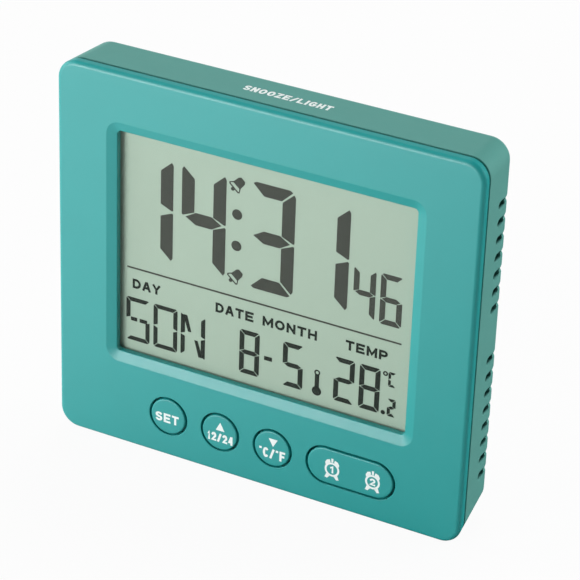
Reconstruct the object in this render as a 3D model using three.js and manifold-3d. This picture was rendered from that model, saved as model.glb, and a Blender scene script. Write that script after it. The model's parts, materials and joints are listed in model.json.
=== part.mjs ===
// A digital table clock: a thin two-shell case with a display, keys, a circuit board and a battery box.
// Millimetres. While it is built, x runs to the right, y from the face to the back and z up, with y = 0 on
// the face. The exported group then moves forward, so that its origin is under the middle of the clock.
import * as THREE from "three";
import { mergeVertices } from "three/addons/utils/BufferGeometryUtils.js";
import Module from "manifold-3d";

const wasm = await Module();
wasm.setup();

// Driving dimensions, in millimetres, and degrees where named so.

// Roundness, in steps or flat sides, and how far a cutting solid runs past what it cuts
const cornerSteps = 5;
const caseCornerSteps = 6;
const keySteps = 7;
const edgeSteps = 3;
const holeSides = 12;
const pinSides = 16;
const postSides = 20;
const discSides = 32;
const wireSides = 5;
const overrun = 1;

// Case
const caseWidth = 95;
const caseHeight = 86.5;
const cornerRadius = 4.4;
const frontEdgeRadius = 1;
const rearEdgeRadius = 1.8;
const sideDraft = 0.8;
const topDraft = 0.5;
const bottomRise = 2.4;
const caseWall = 1.6;
const faceWall = 2;
const bezelDepth = 2.45;
const partingGap = 0.4;
const skirtThickness = 1;
const skirtLength = 2.6;
const componentRoom = 4.8;

// Clearances
const fitGap = 0.15;
const layerGap = 0.05;
const boardGap = 0.25;
const airGap = 0.6;

// Window and display
const cheekWidth = 13.8;
const browHeight = 13.2;
const windowCornerRadius = 0.9;
const bevelWidth = 2.2;
const bevelDepth = 1;
const windowDepth = 2.1;
const windowRim = 1.3;
const lensThickness = 0.6;
const lensMargin = 1.3;
const polariserThickness = 0.15;
const polariserInset = 0.4;
const glassThickness = 0.7;
const glassMargin = 1.9;
const contactLedge = 2.6;
const frameFoot = 1.5;
const guideThickness = 2.15;
const reflectorThickness = 0.2;
const ledLength = 3;
const ledDepth = 1.4;
const ledHeight = 1.2;

// Keys
const keyCentreZ = 9.85;
const keyRadius = 4.2;
const keyGap = 0.25;
const setKeyX = -20.6;
const keyPitch = 12.45;
const rockerOffset = 18.1;
const rockerSpan = 11.4;
const rockerContactSpacing = 9.3;
const keyStandsOut = 0.25;
const keyEdgeRadius = 0.45;
const keyTravel = 0.8;
const flangeMargin = 0.9;
const flangeThickness = 0.8;
const stemRadius = 2.1;
const rockerTiltDegrees = 3.5;
const pivotBehindWall = 1.2;
const pivotPinRadius = 0.5;
const pivotPinLength = 0.7;
const earThickness = 0.7;
const earHalfWidth = 1.3;

// Keypad
const keypadSheet = 0.95;
const keypadMargin = 0.3;
const domeHeight = 1.3;
const domeBaseRadius = 4;
const domeTopRadius = 2.8;
const domeWall = 0.8;
const domeSkirt = 1;
const bossRadius = 1.8;
const pillRadius = 1.5;
const pillThickness = 0.15;

// Circuit board
const boardThickness = 1.2;
const boardCornerRadius = 1.5;
const boardSideGap = 0.5;
const boardTopMargin = 3.7;
const chipRadius = 5;
const chipHeight = 1.4;
const chipX = -14;
const chipZ = 46;
const crystalRadius = 1;
const crystalLength = 6;
const crystalX = -1;
const capacitorRadius = 2;
const capacitorLength = 7;
const capacitorTopMargin = 13.8;
const capacitorSpacing = 7;
const beadRadius = 1.1;
const beadReach = 3.5;
const beadZ = 40;
const legRadius = 0.25;
const legSpacing = 1.2;
const legSteps = 6;

// Touch zone
const electrodeWidth = 26;
const electrodeDepth = 5;
const electrodeThickness = 0.2;
const leafWidth = 3;
const leafThickness = 0.3;
const leafFoot = 3;
const leafReach = 1.9;

// Buzzer
const buzzerX = 24;
const buzzerZ = 54;
const discRadius = 10;
const discThickness = 0.2;
const ceramicRadius = 7.2;
const ceramicThickness = 0.15;
const seatHeight = 1.6;
const seatWall = 1.2;
const soundHoleRadius = 0.8;
const soundRingRadius = 4;
const soundHoles = 6;
const leadRadius = 0.3;
const leadSteps = 12;
const leadSpread = 4;

// Side slots
const slotHeight = 1.6;
const slotStart = 0.8;
const slotBottomMargin = 11.6;
const slotTopMargin = 12.8;
const lowerSlots = 8;
const skippedSlots = 2;
const upperSlots = 7;

// Battery box and cells
const cellRadius = 5.25;
const cellLength = 44.5;
const cellSpacing = 11;
const cellGap = 0.35;
const nubRadius = 1.9;
const nubLength = 0.9;
const cellEdge = 0.5;
const bayWall = 1;
const bayFloorZ = 3;
const springLength = 3.8;
const contactThickness = 0.4;
const contactHeight = 7;
const contactDepth = 8;
const tabHeight = 2.6;
const springWire = 0.3;
const springTurns = 3;
const springSteps = 8;
const springBaseRadius = 3.2;
const springTipRadius = 2.2;
const boxWall = 2.6;
const boxCornerRadius = 3;
const boxEdgeRadius = 0.6;
const footStart = 7;

// Battery door
const doorThickness = 1.5;
const doorOverlap = 0.85;
const doorGap = 0.2;
const hingePinRadius = 0.55;
const hingePinLength = 0.8;
const latchWidth = 8.6;
const latchThickness = 0.8;
const latchReach = 1.2;
const latchHeight = 3;
const latchHook = 1.2;
const lipWall = 1;
const gripGrooves = 3;
const gripSpacing = 2.2;
const gripDepth = 0.4;

// Screws
const caseScrewInset = 6.5;
const caseScrewHeight = 7.6;
const caseBossRadius = 2.6;
const rearBossRadius = 3.3;
const rearBossLength = 3.5;
const screwSeat = 1.8;
const screwGap = 0.2;
const caseScrew = { headRadius: 2, headHeight: 1.3, shankRadius: 0.95, length: 7 };
const boardScrew = { headRadius: 1.5, headHeight: 0.9, shankRadius: 0.75, length: 4.5 };
const boardPostRadius = 1.7;
const topPostX = 28;
const rightPostRise = 3;

// Depths, from the face to the back, that follow from the stack of layers.
const lensY = windowDepth + layerGap;
const frontPolariserY = lensY + lensThickness + layerGap;
const frontGlassY = frontPolariserY + polariserThickness + layerGap;
const rearGlassY = frontGlassY + glassThickness + layerGap;
const rearPolariserY = rearGlassY + glassThickness + layerGap;
const guideY = rearPolariserY + polariserThickness + 2 * layerGap;
const reflectorY = guideY + guideThickness + layerGap;
const boardY = reflectorY + reflectorThickness + boardGap;
const boardBackY = boardY + boardThickness;
const innerBackY = boardBackY + componentRoom;
const caseDepth = innerBackY + caseWall;
const rearFrontY = bezelDepth + partingGap;
const skirtEndY = bezelDepth + skirtLength;
const keypadBackY = boardY - layerGap;
const keypadFrontY = keypadBackY - keypadSheet;
const domeTopY = keypadFrontY - domeHeight;
const rockerPivotY = faceWall + pivotBehindWall;
const bayFrontY = boardBackY + airGap + bayWall;
const cellY = bayFrontY + cellGap + cellRadius;
const doorInnerY = cellY + cellRadius + cellGap;
const overallDepth = doorInnerY + doorThickness;

// Places across and up the face.
const bossX = caseWidth / 2 - caseScrewInset;
const topBossZ = caseHeight - caseScrewHeight;
const innerHalfWidth = bossX - caseBossRadius - boardSideGap;
const boardTopZ = caseHeight - boardTopMargin;
const upperCapacitorZ = boardTopZ - capacitorTopMargin;
const topPostZ = boardTopZ - boardPostRadius - airGap;
const keyHoleRadius = keyRadius + keyGap;
const flangeRadius = keyRadius + flangeMargin;
const keyXs = [setKeyX, setKeyX + keyPitch, setKeyX + 2 * keyPitch];
const rockerX = keyXs[2] + rockerOffset;
const rockerContactXs = [rockerX - rockerContactSpacing / 2, rockerX + rockerContactSpacing / 2];
const keypadLeftX = setKeyX - flangeRadius - keypadMargin;
const keypadRightX = rockerX + rockerSpan / 2 + flangeRadius + keypadMargin;
const keypadBottomZ = keyCentreZ - flangeRadius - keypadMargin;
const keypadTopZ = keyCentreZ + flangeRadius + keypadMargin;
const boardBottomZ = keypadBottomZ - 2 * keypadMargin;
const bayHalfWidth = (cellLength + springLength) / 2 + contactThickness + 2 * fitGap;
const bayReach = bayHalfWidth + bayWall;
const leftPostX = Math.min(keypadLeftX, -bayReach) - airGap - boardPostRadius;
const rightPostX = Math.max(keypadRightX, bayReach) + airGap + boardPostRadius;
const rightPostZ = keyCentreZ + rightPostRise;
const frameBottomZ = keypadTopZ + airGap;
const frameTopZ = topPostZ - boardPostRadius - airGap;
const ledgeBottomZ = frameBottomZ + frameFoot + fitGap;
const glassBottomZ = ledgeBottomZ + contactLedge;
const windowBottomZ = glassBottomZ + glassMargin;
const windowTopZ = caseHeight - browHeight;
const windowHalfWidth = caseWidth / 2 - cheekWidth;
const glassTopZ = windowTopZ + glassMargin;
const glassHalfWidth = windowHalfWidth + glassMargin;
const windowCentreZ = (windowBottomZ + windowTopZ) / 2;

// Places in the battery box.
const lowerCellZ = bayFloorZ + cellGap + cellRadius;
const upperCellZ = lowerCellZ + cellSpacing;
const bayTopZ = upperCellZ + cellRadius + cellGap;
const boxHalfWidth = bayHalfWidth + boxWall;
const doorHalfWidth = bayHalfWidth + doorOverlap;
const doorBottomZ = bayFloorZ - doorOverlap;
const doorTopZ = bayTopZ + doorOverlap + airGap / 2;
const recessTopZ = doorTopZ + doorGap;
const boxTopZ = recessTopZ + latchHook + lipWall;
const hingeY = doorInnerY + doorThickness / 2;
const hingeZ = doorBottomZ + doorThickness / 2;
const latchTopZ = doorTopZ - 2 * fitGap;

// Materials
function plastic(colour, roughness) {
  return new THREE.MeshStandardMaterial({ color: colour, roughness, metalness: 0 });
}

function metal(colour, roughness) {
  return new THREE.MeshStandardMaterial({ color: colour, roughness, metalness: 1 });
}

function clear(colour, opacity) {
  return new THREE.MeshStandardMaterial({
    color: colour,
    roughness: 0.05,
    metalness: 0,
    transparent: true,
    opacity,
  });
}

const finish = {
  face: plastic(0x52a7a3, 0.45),
  rear: plastic(0x5c9a90, 0.55),
  lens: clear(0xf2f6f4, 0.3),
  polariser: plastic(0xb4c6b4, 0.35),
  glass: clear(0xdfe9e2, 0.35),
  guide: clear(0xeef4f0, 0.6),
  white: plastic(0xeeeeea, 0.5),
  board: plastic(0x2f6b45, 0.5),
  resin: plastic(0x17181a, 0.35),
  rubber: plastic(0xb9bbb8, 0.8),
  zebra: plastic(0xd98f9a, 0.8),
  carbon: plastic(0x2a2a2b, 0.7),
  steel: metal(0xc2c4c6, 0.3),
  brass: metal(0xc9a558, 0.3),
  sleeve: plastic(0x3a4a57, 0.4),
  red: plastic(0xb3302a, 0.5),
  black: plastic(0x1c1c1e, 0.5),
};

// Solids: three.js geometry goes in, is joined and cut, and comes out as three.js geometry.
function solid(geometry) {
  const bare = geometry.clone();
  bare.deleteAttribute("normal");
  bare.deleteAttribute("uv");
  const merged = mergeVertices(bare, 1e-4);
  return new wasm.Manifold(
    new wasm.Mesh({
      numProp: 3,
      vertProperties: merged.attributes.position.array,
      triVerts: new Uint32Array(merged.index.array),
    }),
  );
}

function join(...pieces) {
  return pieces.reduce((whole, piece) => whole.add(piece));
}

function cut(whole, ...tools) {
  return tools.reduce((rest, tool) => rest.subtract(tool), whole);
}

function toGeometry(manifold) {
  const mesh = manifold.getMesh();
  const geometry = new THREE.BufferGeometry();
  geometry.setAttribute("position", new THREE.BufferAttribute(mesh.vertProperties, 3));
  geometry.setIndex(new THREE.BufferAttribute(mesh.triVerts, 1));
  geometry.computeVertexNormals();
  return geometry;
}

// A rectangle with round corners in the x, z plane, anticlockwise from the lower right.
function roundedOutline(left, right, bottom, top, radius, steps = cornerSteps) {
  const points = [];
  const corners = [
    [right - radius, bottom + radius, -90],
    [right - radius, top - radius, 0],
    [left + radius, top - radius, 90],
    [left + radius, bottom + radius, 180],
  ];
  for (const [x, z, startDegrees] of corners) {
    for (let step = 0; step <= steps; step++) {
      const angle = THREE.MathUtils.degToRad(startDegrees + (90 * step) / steps);
      points.push(new THREE.Vector2(x + radius * Math.cos(angle), z + radius * Math.sin(angle)));
    }
  }
  const sameSpot = 1e-6;
  return points.filter((point, i) => point.distanceTo(points.at(i - 1)) > sameSpot);
}

// A closed solid through outlines of equal point count, each { outline, y }, from front to back.
function loft(sections) {
  const count = sections[0].outline.length;
  const positions = [];
  const index = [];
  for (const { outline, y } of sections) {
    for (const point of outline) positions.push(point.x, y, point.y);
  }
  for (let s = 0; s + 1 < sections.length; s++) {
    for (let i = 0; i < count; i++) {
      const a = s * count + i;
      const b = s * count + ((i + 1) % count);
      index.push(a, a + count, b, b, a + count, b + count);
    }
  }
  const back = (sections.length - 1) * count;
  for (const [a, b, c] of THREE.ShapeUtils.triangulateShape(sections[0].outline, [])) {
    index.push(a, b, c);
  }
  for (const [a, b, c] of THREE.ShapeUtils.triangulateShape(sections.at(-1).outline, [])) {
    index.push(back + c, back + b, back + a);
  }
  const geometry = new THREE.BufferGeometry();
  geometry.setAttribute("position", new THREE.Float32BufferAttribute(positions, 3));
  geometry.setIndex(index);
  return solid(geometry);
}

function slab(outline, y0, y1) {
  return loft([
    { outline, y: y0 },
    { outline, y: y1 },
  ]);
}

function box(x0, x1, y0, y1, z0, z1) {
  const geometry = new THREE.BoxGeometry(x1 - x0, y1 - y0, z1 - z0);
  geometry.translate((x0 + x1) / 2, (y0 + y1) / 2, (z0 + z1) / 2);
  return solid(geometry);
}

// Cylinders along y, x and z. A second radius, at the far end, makes a cone.
function postY(x, z, radius, y0, y1, sides = postSides, farRadius = radius) {
  const geometry = new THREE.CylinderGeometry(farRadius, radius, y1 - y0, sides);
  geometry.translate(x, (y0 + y1) / 2, z);
  return solid(geometry);
}

function barX(x0, x1, y, z, radius, sides = pinSides) {
  const geometry = new THREE.CylinderGeometry(radius, radius, x1 - x0, sides);
  geometry.rotateZ(Math.PI / 2);
  geometry.translate((x0 + x1) / 2, y, z);
  return solid(geometry);
}

function barZ(x, y, z0, z1, radius, sides = pinSides) {
  const geometry = new THREE.CylinderGeometry(radius, radius, z1 - z0, sides);
  geometry.rotateX(Math.PI / 2);
  geometry.translate(x, y, (z0 + z1) / 2);
  return solid(geometry);
}

// An outline of [y, z] points pushed along x.
function profileX(points, x0, x1) {
  const shape = new THREE.Shape(points.map(([y, z]) => new THREE.Vector2(y, z)));
  const geometry = new THREE.ExtrudeGeometry(shape, { depth: x1 - x0, bevelEnabled: false });
  const right = new THREE.Vector3(1, 0, 0);
  const back = new THREE.Vector3(0, 1, 0);
  const up = new THREE.Vector3(0, 0, 1);
  geometry.applyMatrix4(new THREE.Matrix4().makeBasis(back, up, right));
  geometry.translate(x0, 0, 0);
  return solid(geometry);
}

// A profile of [radius, distance] points turned about an axis, "x" or "y", that starts at (x, y, z).
function turned(points, axis, x, y, z, sides = postSides) {
  const profile = points.map(([radius, along]) => new THREE.Vector2(radius, along));
  const geometry = new THREE.LatheGeometry(profile, sides);
  if (axis === "x") geometry.rotateZ(-Math.PI / 2);
  geometry.translate(x, y, z);
  return solid(geometry);
}

// A round wire along points.
function wire(points, radius, steps) {
  const section = new THREE.Shape();
  for (let i = 0; i < wireSides; i++) {
    const angle = (2 * Math.PI * i) / wireSides;
    const [across, up] = [radius * Math.cos(angle), radius * Math.sin(angle)];
    if (i === 0) section.moveTo(across, up);
    else section.lineTo(across, up);
  }
  const extrudePath = new THREE.CatmullRomCurve3(points);
  return solid(new THREE.ExtrudeGeometry(section, { steps, extrudePath, bevelEnabled: false }));
}

// The case's outline at depth y: it narrows towards the back, and its underside climbs.
function taperShare(y) {
  const taperDepth = caseDepth - frontEdgeRadius - rearEdgeRadius;
  return THREE.MathUtils.clamp((y - frontEdgeRadius) / taperDepth, 0, 1);
}

function caseOutline(y, inset) {
  const share = taperShare(y);
  const sharpest = 0.4;
  const radius = Math.max(cornerRadius - inset, sharpest);
  const halfWidth = caseWidth / 2 - sideDraft * share - inset;
  const bottom = bottomRise * share + inset;
  const top = caseHeight - topDraft * share - inset;
  return roundedOutline(-halfWidth, halfWidth, bottom, top, radius, caseCornerSteps);
}

// Sections that round an edge: from the plane at y into the body, or out of it.
function roundedSections(outlineAt, faceY, radius, direction) {
  const sections = [];
  for (let step = 0; step <= edgeSteps; step++) {
    const angle = ((Math.PI / 2) * step) / edgeSteps;
    const y = faceY + direction * radius * (1 - Math.cos(angle));
    sections.push({ y, outline: outlineAt(y, radius * (1 - Math.sin(angle))) });
  }
  return direction > 0 ? sections : sections.reverse();
}

// Window
function windowOutline(margin, radius = windowCornerRadius) {
  return roundedOutline(
    -windowHalfWidth - margin,
    windowHalfWidth + margin,
    windowBottomZ - margin,
    windowTopZ + margin,
    radius,
  );
}

// Key outlines: a round key is a pill of no length.
function keyOutline(x, span, radius) {
  const left = x - span / 2 - radius;
  const right = x + span / 2 + radius;
  return roundedOutline(left, right, keyCentreZ - radius, keyCentreZ + radius, radius, keySteps);
}

// Fasteners
function screw({ headRadius, headHeight, shankRadius, length }, x, z, seatY) {
  const headTopY = seatY + headHeight;
  const slotFloorY = seatY + headHeight / 2;
  const slotHalf = headRadius / 8;
  const slotReach = 0.7 * headRadius;
  const head = postY(x, z, headRadius, seatY, headTopY, pinSides);
  const shank = postY(x, z, shankRadius, seatY - length, slotFloorY, holeSides);
  const endY = headTopY + overrun;
  const across = box(x - slotReach, x + slotReach, slotFloorY, endY, z - slotHalf, z + slotHalf);
  const upright = box(x - slotHalf, x + slotHalf, slotFloorY, endY, z - slotReach, z + slotReach);
  return cut(join(head, shank), across, upright);
}

const caseScrewPlaces = [
  [-bossX, caseScrewHeight],
  [bossX, caseScrewHeight],
  [-bossX, topBossZ],
  [bossX, topBossZ],
];
const boardScrewPlaces = [
  [leftPostX, keyCentreZ],
  [rightPostX, rightPostZ],
  [-topPostX, topPostZ],
  [topPostX, topPostZ],
];
const rearBossFrontY = innerBackY - rearBossLength;
const caseScrewSeatY = caseDepth - caseWall - screwSeat;

// The front shell: face, window, key holes, screw bosses and the skirt that fits inside the rear shell.
function makeFrontBezel() {
  const shell = loft([
    ...roundedSections(caseOutline, 0, frontEdgeRadius, 1),
    { y: bezelDepth, outline: caseOutline(bezelDepth, 0) },
  ]);
  const pocket = loft([
    { y: faceWall, outline: caseOutline(faceWall, caseWall) },
    { y: bezelDepth + overrun, outline: caseOutline(bezelDepth + overrun, caseWall) },
  ]);
  const skirtInset = caseWall + fitGap;
  const skirt = loft([
    { y: faceWall - fitGap, outline: caseOutline(faceWall, skirtInset) },
    { y: skirtEndY, outline: caseOutline(skirtEndY, skirtInset) },
  ]);
  const insideInset = skirtInset + skirtThickness;
  const insideSkirt = loft([
    { y: faceWall - overrun, outline: caseOutline(faceWall - overrun, insideInset) },
    { y: skirtEndY + overrun, outline: caseOutline(skirtEndY + overrun, insideInset) },
  ]);
  let bezel = join(cut(shell, pocket), cut(skirt, insideSkirt));
  bezel = join(bezel, slab(windowOutline(windowRim), faceWall - fitGap, windowDepth));
  for (const [x, z] of caseScrewPlaces) {
    bezel = join(bezel, postY(x, z, caseBossRadius, faceWall - fitGap, rearBossFrontY - fitGap));
  }
  for (const [x, z] of boardScrewPlaces) {
    bezel = join(bezel, postY(x, z, boardPostRadius, faceWall - fitGap, boardY - layerGap));
  }
  const earReach = flangeRadius + fitGap;
  for (const side of [-1, 1]) {
    const inner = keyCentreZ + side * earReach;
    const outer = keyCentreZ + side * (earReach + earThickness);
    bezel = join(
      bezel,
      box(
        rockerX - earHalfWidth,
        rockerX + earHalfWidth,
        faceWall - fitGap,
        rockerPivotY + 2 * pivotPinRadius,
        Math.min(inner, outer),
        Math.max(inner, outer),
      ),
    );
  }
  const opening = slab(windowOutline(0), -overrun, windowDepth + overrun);
  const bevel = loft([
    { y: -bevelDepth, outline: windowOutline(2 * bevelWidth, windowCornerRadius + 2 * bevelWidth) },
    { y: bevelDepth, outline: windowOutline(0) },
  ]);
  bezel = cut(bezel, opening, bevel);
  for (const x of keyXs) {
    bezel = cut(bezel, slab(keyOutline(x, 0, keyHoleRadius), -overrun, faceWall + fitGap));
  }
  bezel = cut(bezel, slab(keyOutline(rockerX, rockerSpan, keyHoleRadius), -overrun, faceWall + fitGap));
  const pinReach = flangeRadius + fitGap + earThickness + overrun;
  bezel = cut(
    bezel,
    barZ(rockerX, rockerPivotY, keyCentreZ - pinReach, keyCentreZ + pinReach, pivotPinRadius + fitGap),
  );
  for (const [x, z] of caseScrewPlaces) {
    const holeEnd = caseScrewSeatY - caseScrew.length - airGap;
    const hole = postY(x, z, caseScrew.shankRadius + screwGap, holeEnd, rearBossFrontY + overrun, holeSides);
    bezel = cut(bezel, hole);
  }
  for (const [x, z] of boardScrewPlaces) {
    const holeEnd = boardBackY - boardScrew.length - airGap;
    const hole = postY(x, z, boardScrew.shankRadius + screwGap, holeEnd, boardY + overrun, holeSides);
    bezel = cut(bezel, hole);
  }
  return bezel;
}

// The rear shell: walls, battery box with its foot, screw seats, buzzer seat, sound holes and side slots.
function boxOutline(y, inset) {
  return roundedOutline(-boxHalfWidth + inset, boxHalfWidth - inset, inset, boxTopZ - inset, boxCornerRadius);
}

function slotHeights() {
  const count = lowerSlots + skippedSlots + upperSlots;
  const pitch = (caseHeight - slotTopMargin - slotBottomMargin) / (count - 1);
  const heights = [];
  for (let i = 0; i < count; i++) {
    const skipped = i >= lowerSlots && i < lowerSlots + skippedSlots;
    if (!skipped) heights.push(slotBottomMargin + i * pitch);
  }
  return heights;
}

function sideSlot(side, z) {
  const startY = boardBackY + slotStart;
  const innerX = side * (caseWidth / 2 - sideDraft - caseWall - airGap);
  const outerX = side * (caseWidth / 2 + overrun);
  const [x0, x1] = [Math.min(innerX, outerX), Math.max(innerX, outerX)];
  const halfHeight = slotHeight / 2;
  const roundEnd = barX(x0, x1, startY + halfHeight, z, halfHeight, holeSides);
  const straight = box(x0, x1, startY + halfHeight, caseDepth + overrun, z - halfHeight, z + halfHeight);
  return join(roundEnd, straight);
}

function makeRearCase() {
  const shell = loft([
    { y: rearFrontY, outline: caseOutline(rearFrontY, 0) },
    ...roundedSections(caseOutline, caseDepth, rearEdgeRadius, -1),
  ]);
  const cellBox = loft([
    { y: footStart, outline: boxOutline(footStart, 0) },
    ...roundedSections(boxOutline, overallDepth, boxEdgeRadius, -1),
  ]);
  const inside = loft([
    { y: rearFrontY - overrun, outline: caseOutline(rearFrontY - overrun, caseWall) },
    { y: innerBackY, outline: caseOutline(innerBackY, caseWall) },
  ]);
  const bayOutside = box(
    -bayHalfWidth - bayWall,
    bayHalfWidth + bayWall,
    bayFrontY - bayWall,
    innerBackY + bayWall,
    bayFloorZ - bayWall,
    bayTopZ + bayWall,
  );
  let rear = join(cut(join(shell, cellBox), inside), bayOutside);
  for (const [x, z] of caseScrewPlaces) {
    rear = join(rear, postY(x, z, rearBossRadius, rearBossFrontY, innerBackY + caseWall / 2));
  }
  rear = addBuzzerSeat(rear);
  for (const z of slotHeights()) {
    rear = cut(rear, sideSlot(1, z), sideSlot(-1, z));
  }
  const { headRadius, shankRadius } = caseScrew;
  const endY = caseDepth + overrun;
  for (const [x, z] of caseScrewPlaces) {
    const hole = postY(x, z, shankRadius + screwGap, rearBossFrontY - overrun, endY, holeSides);
    const headWell = postY(x, z, headRadius + screwGap, caseScrewSeatY - layerGap, endY);
    rear = cut(rear, hole, headWell);
  }
  return cutBatteryBay(rear);
}

function addBuzzerSeat(rear) {
  const seatFrontY = innerBackY - seatHeight;
  function ring(radius, y0, y1) {
    return postY(buzzerX, buzzerZ, radius, y0, y1, discSides);
  }
  const seat = ring(discRadius + fitGap + seatWall, seatFrontY, innerBackY + caseWall / 2);
  const step = ring(discRadius + fitGap, seatFrontY - overrun, innerBackY - seatHeight / 2);
  const hollow = ring(discRadius - seatWall, seatFrontY - overrun, innerBackY);
  const spots = [[buzzerX, buzzerZ]];
  for (let i = 0; i < soundHoles; i++) {
    const angle = (2 * Math.PI * i) / soundHoles;
    spots.push([buzzerX + soundRingRadius * Math.cos(angle), buzzerZ + soundRingRadius * Math.sin(angle)]);
  }
  const holes = spots.map(([x, z]) =>
    postY(x, z, soundHoleRadius, innerBackY - overrun, caseDepth + overrun, holeSides),
  );
  return cut(join(rear, seat), step, hollow, ...holes);
}

function cutBatteryBay(rear) {
  const backY = overallDepth + overrun;
  const bay = box(-bayHalfWidth, bayHalfWidth, bayFrontY, backY, bayFloorZ, bayTopZ);
  const recess = box(
    -doorHalfWidth - doorGap,
    doorHalfWidth + doorGap,
    doorInnerY - fitGap,
    backY,
    doorBottomZ - doorGap,
    recessTopZ,
  );
  const latchHalf = latchWidth / 2 + 2 * fitGap;
  const pocketY = doorInnerY - latchReach - 2 * fitGap;
  const latchPocket = box(-latchHalf, latchHalf, pocketY, doorInnerY, bayTopZ - overrun, recessTopZ);
  const hookSlot = box(
    -latchHalf,
    latchHalf,
    doorInnerY - 2 * fitGap,
    doorInnerY + latchThickness,
    bayTopZ,
    recessTopZ + latchHook,
  );
  const pinReach = doorHalfWidth + hingePinLength + fitGap;
  const pinSocket = barX(-pinReach, pinReach, hingeY, hingeZ, hingePinRadius + fitGap);
  const tabX = bayHalfWidth - contactThickness - 2 * fitGap;
  const tabHalf = tabHeight / 2 + fitGap;
  const tabSlots = [lowerCellZ, upperCellZ].map((z) =>
    box(tabX, bayHalfWidth, bayFrontY - bayWall - overrun, bayFrontY + overrun, z - tabHalf, z + tabHalf),
  );
  return cut(rear, bay, recess, latchPocket, hookSlot, pinSocket, ...tabSlots);
}

// The battery door turns on two pins at its lower edge; a spring latch holds its upper edge.
function makeBatteryDoor() {
  const radius = doorThickness / 2;
  const profile = [];
  const roundSteps = 8;
  for (let step = 0; step <= roundSteps; step++) {
    const angle = Math.PI + (Math.PI * step) / roundSteps;
    profile.push([hingeY + radius * Math.cos(angle), hingeZ + radius * Math.sin(angle)]);
  }
  profile.push([overallDepth, doorTopZ], [doorInnerY, doorTopZ]);
  const panel = profileX(profile, -doorHalfWidth, doorHalfWidth);
  const pinReach = doorHalfWidth + hingePinLength;
  const pins = barX(-pinReach, pinReach, hingeY, hingeZ, hingePinRadius);
  const notchHalf = latchWidth / 2 + 2 * fitGap;
  const notchBottomZ = latchTopZ - latchThickness - airGap;
  const notch = box(
    -notchHalf,
    notchHalf,
    doorInnerY - overrun,
    overallDepth + overrun,
    notchBottomZ,
    doorTopZ + overrun,
  );
  let door = cut(join(panel, pins), notch);
  for (let i = 0; i < gripGrooves; i++) {
    const z = notchBottomZ - gripSpacing * (i + 1);
    door = cut(door, barX(-latchWidth, latchWidth, overallDepth, z, gripDepth, holeSides));
  }
  return door;
}

function makeBatteryLatch() {
  const innerY = doorInnerY - latchReach;
  const rootZ = latchTopZ - latchHeight;
  const hookY = doorInnerY - fitGap;
  const profile = [
    [doorInnerY - fitGap, rootZ],
    [innerY, rootZ],
    [innerY, latchTopZ],
    [hookY, latchTopZ],
    [hookY, latchTopZ + latchHook],
    [hookY + latchThickness, latchTopZ + latchHook / 2],
    [hookY + latchThickness, latchTopZ],
    [overallDepth - fitGap, latchTopZ],
    [overallDepth - fitGap, latchTopZ - latchThickness],
    [innerY + latchThickness, latchTopZ - latchThickness],
    [innerY + latchThickness, rootZ + latchThickness],
    [doorInnerY - fitGap, rootZ + latchThickness],
  ];
  return profileX(profile.reverse(), -latchWidth / 2, latchWidth / 2);
}

// Display layers: glass-sized plates, and films that are a little smaller.
function plate(bottomZ, y, thickness) {
  return box(-glassHalfWidth, glassHalfWidth, y, y + thickness, bottomZ, glassTopZ);
}

const viewHalfWidth = glassHalfWidth - polariserInset;

function film(y) {
  const bottomZ = glassBottomZ + polariserInset;
  return box(-viewHalfWidth, viewHalfWidth, y, y + polariserThickness, bottomZ, glassTopZ - polariserInset);
}

function makeZebraStrip() {
  const frontY = frontGlassY + glassThickness + layerGap;
  const bottomZ = ledgeBottomZ + polariserInset;
  const topZ = glassBottomZ - polariserInset;
  return box(-viewHalfWidth, viewHalfWidth, frontY, boardY - layerGap, bottomZ, topZ);
}

function makeDisplayFrame() {
  const frameFrontY = lensY + lensThickness + 2 * layerGap;
  const backY = boardY - layerGap;
  const outer = slab(
    roundedOutline(-innerHalfWidth, innerHalfWidth, frameBottomZ, frameTopZ, boardCornerRadius),
    frameFrontY,
    backY,
  );
  const pocket = box(
    -glassHalfWidth - fitGap,
    glassHalfWidth + fitGap,
    frameFrontY - overrun,
    backY + overrun,
    ledgeBottomZ - fitGap,
    glassTopZ + fitGap,
  );
  const ledPocket = box(
    -glassHalfWidth - ledHeight - 2 * fitGap,
    -glassHalfWidth,
    backY - ledDepth - fitGap,
    backY + overrun,
    windowCentreZ - ledLength / 2 - fitGap,
    windowCentreZ + ledLength / 2 + fitGap,
  );
  return cut(outer, pocket, ledPocket);
}

function makeBacklightLed() {
  const x0 = -glassHalfWidth - ledHeight - fitGap;
  const backY = boardY - layerGap;
  const bottomZ = windowCentreZ - ledLength / 2;
  return box(x0, x0 + ledHeight, backY - ledDepth, backY, bottomZ, bottomZ + ledLength);
}

// Keys
function makeKeyCap(x, span, flangeY, stems) {
  const capOutline = (y, inset) => keyOutline(x, span, keyRadius - inset);
  const cap = loft([
    ...roundedSections(capOutline, -keyStandsOut, keyEdgeRadius, 1),
    { y: flangeY + flangeThickness / 2, outline: keyOutline(x, span, keyRadius) },
  ]);
  const flange = slab(keyOutline(x, span, flangeRadius), flangeY, flangeY + flangeThickness);
  const posts = stems.map((stemX) => postY(stemX, keyCentreZ, stemRadius, flangeY, domeTopY - layerGap));
  return join(cap, flange, ...posts);
}

function makeRoundKey(x) {
  return makeKeyCap(x, 0, faceWall + fitGap, [x]);
}

function makeRocker() {
  const flangeY = rockerPivotY - flangeThickness / 2;
  const pinReach = flangeRadius + pivotPinLength;
  const pins = barZ(rockerX, rockerPivotY, keyCentreZ - pinReach, keyCentreZ + pinReach, pivotPinRadius);
  return join(makeKeyCap(rockerX, rockerSpan, flangeY, rockerContactXs), pins);
}

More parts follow.
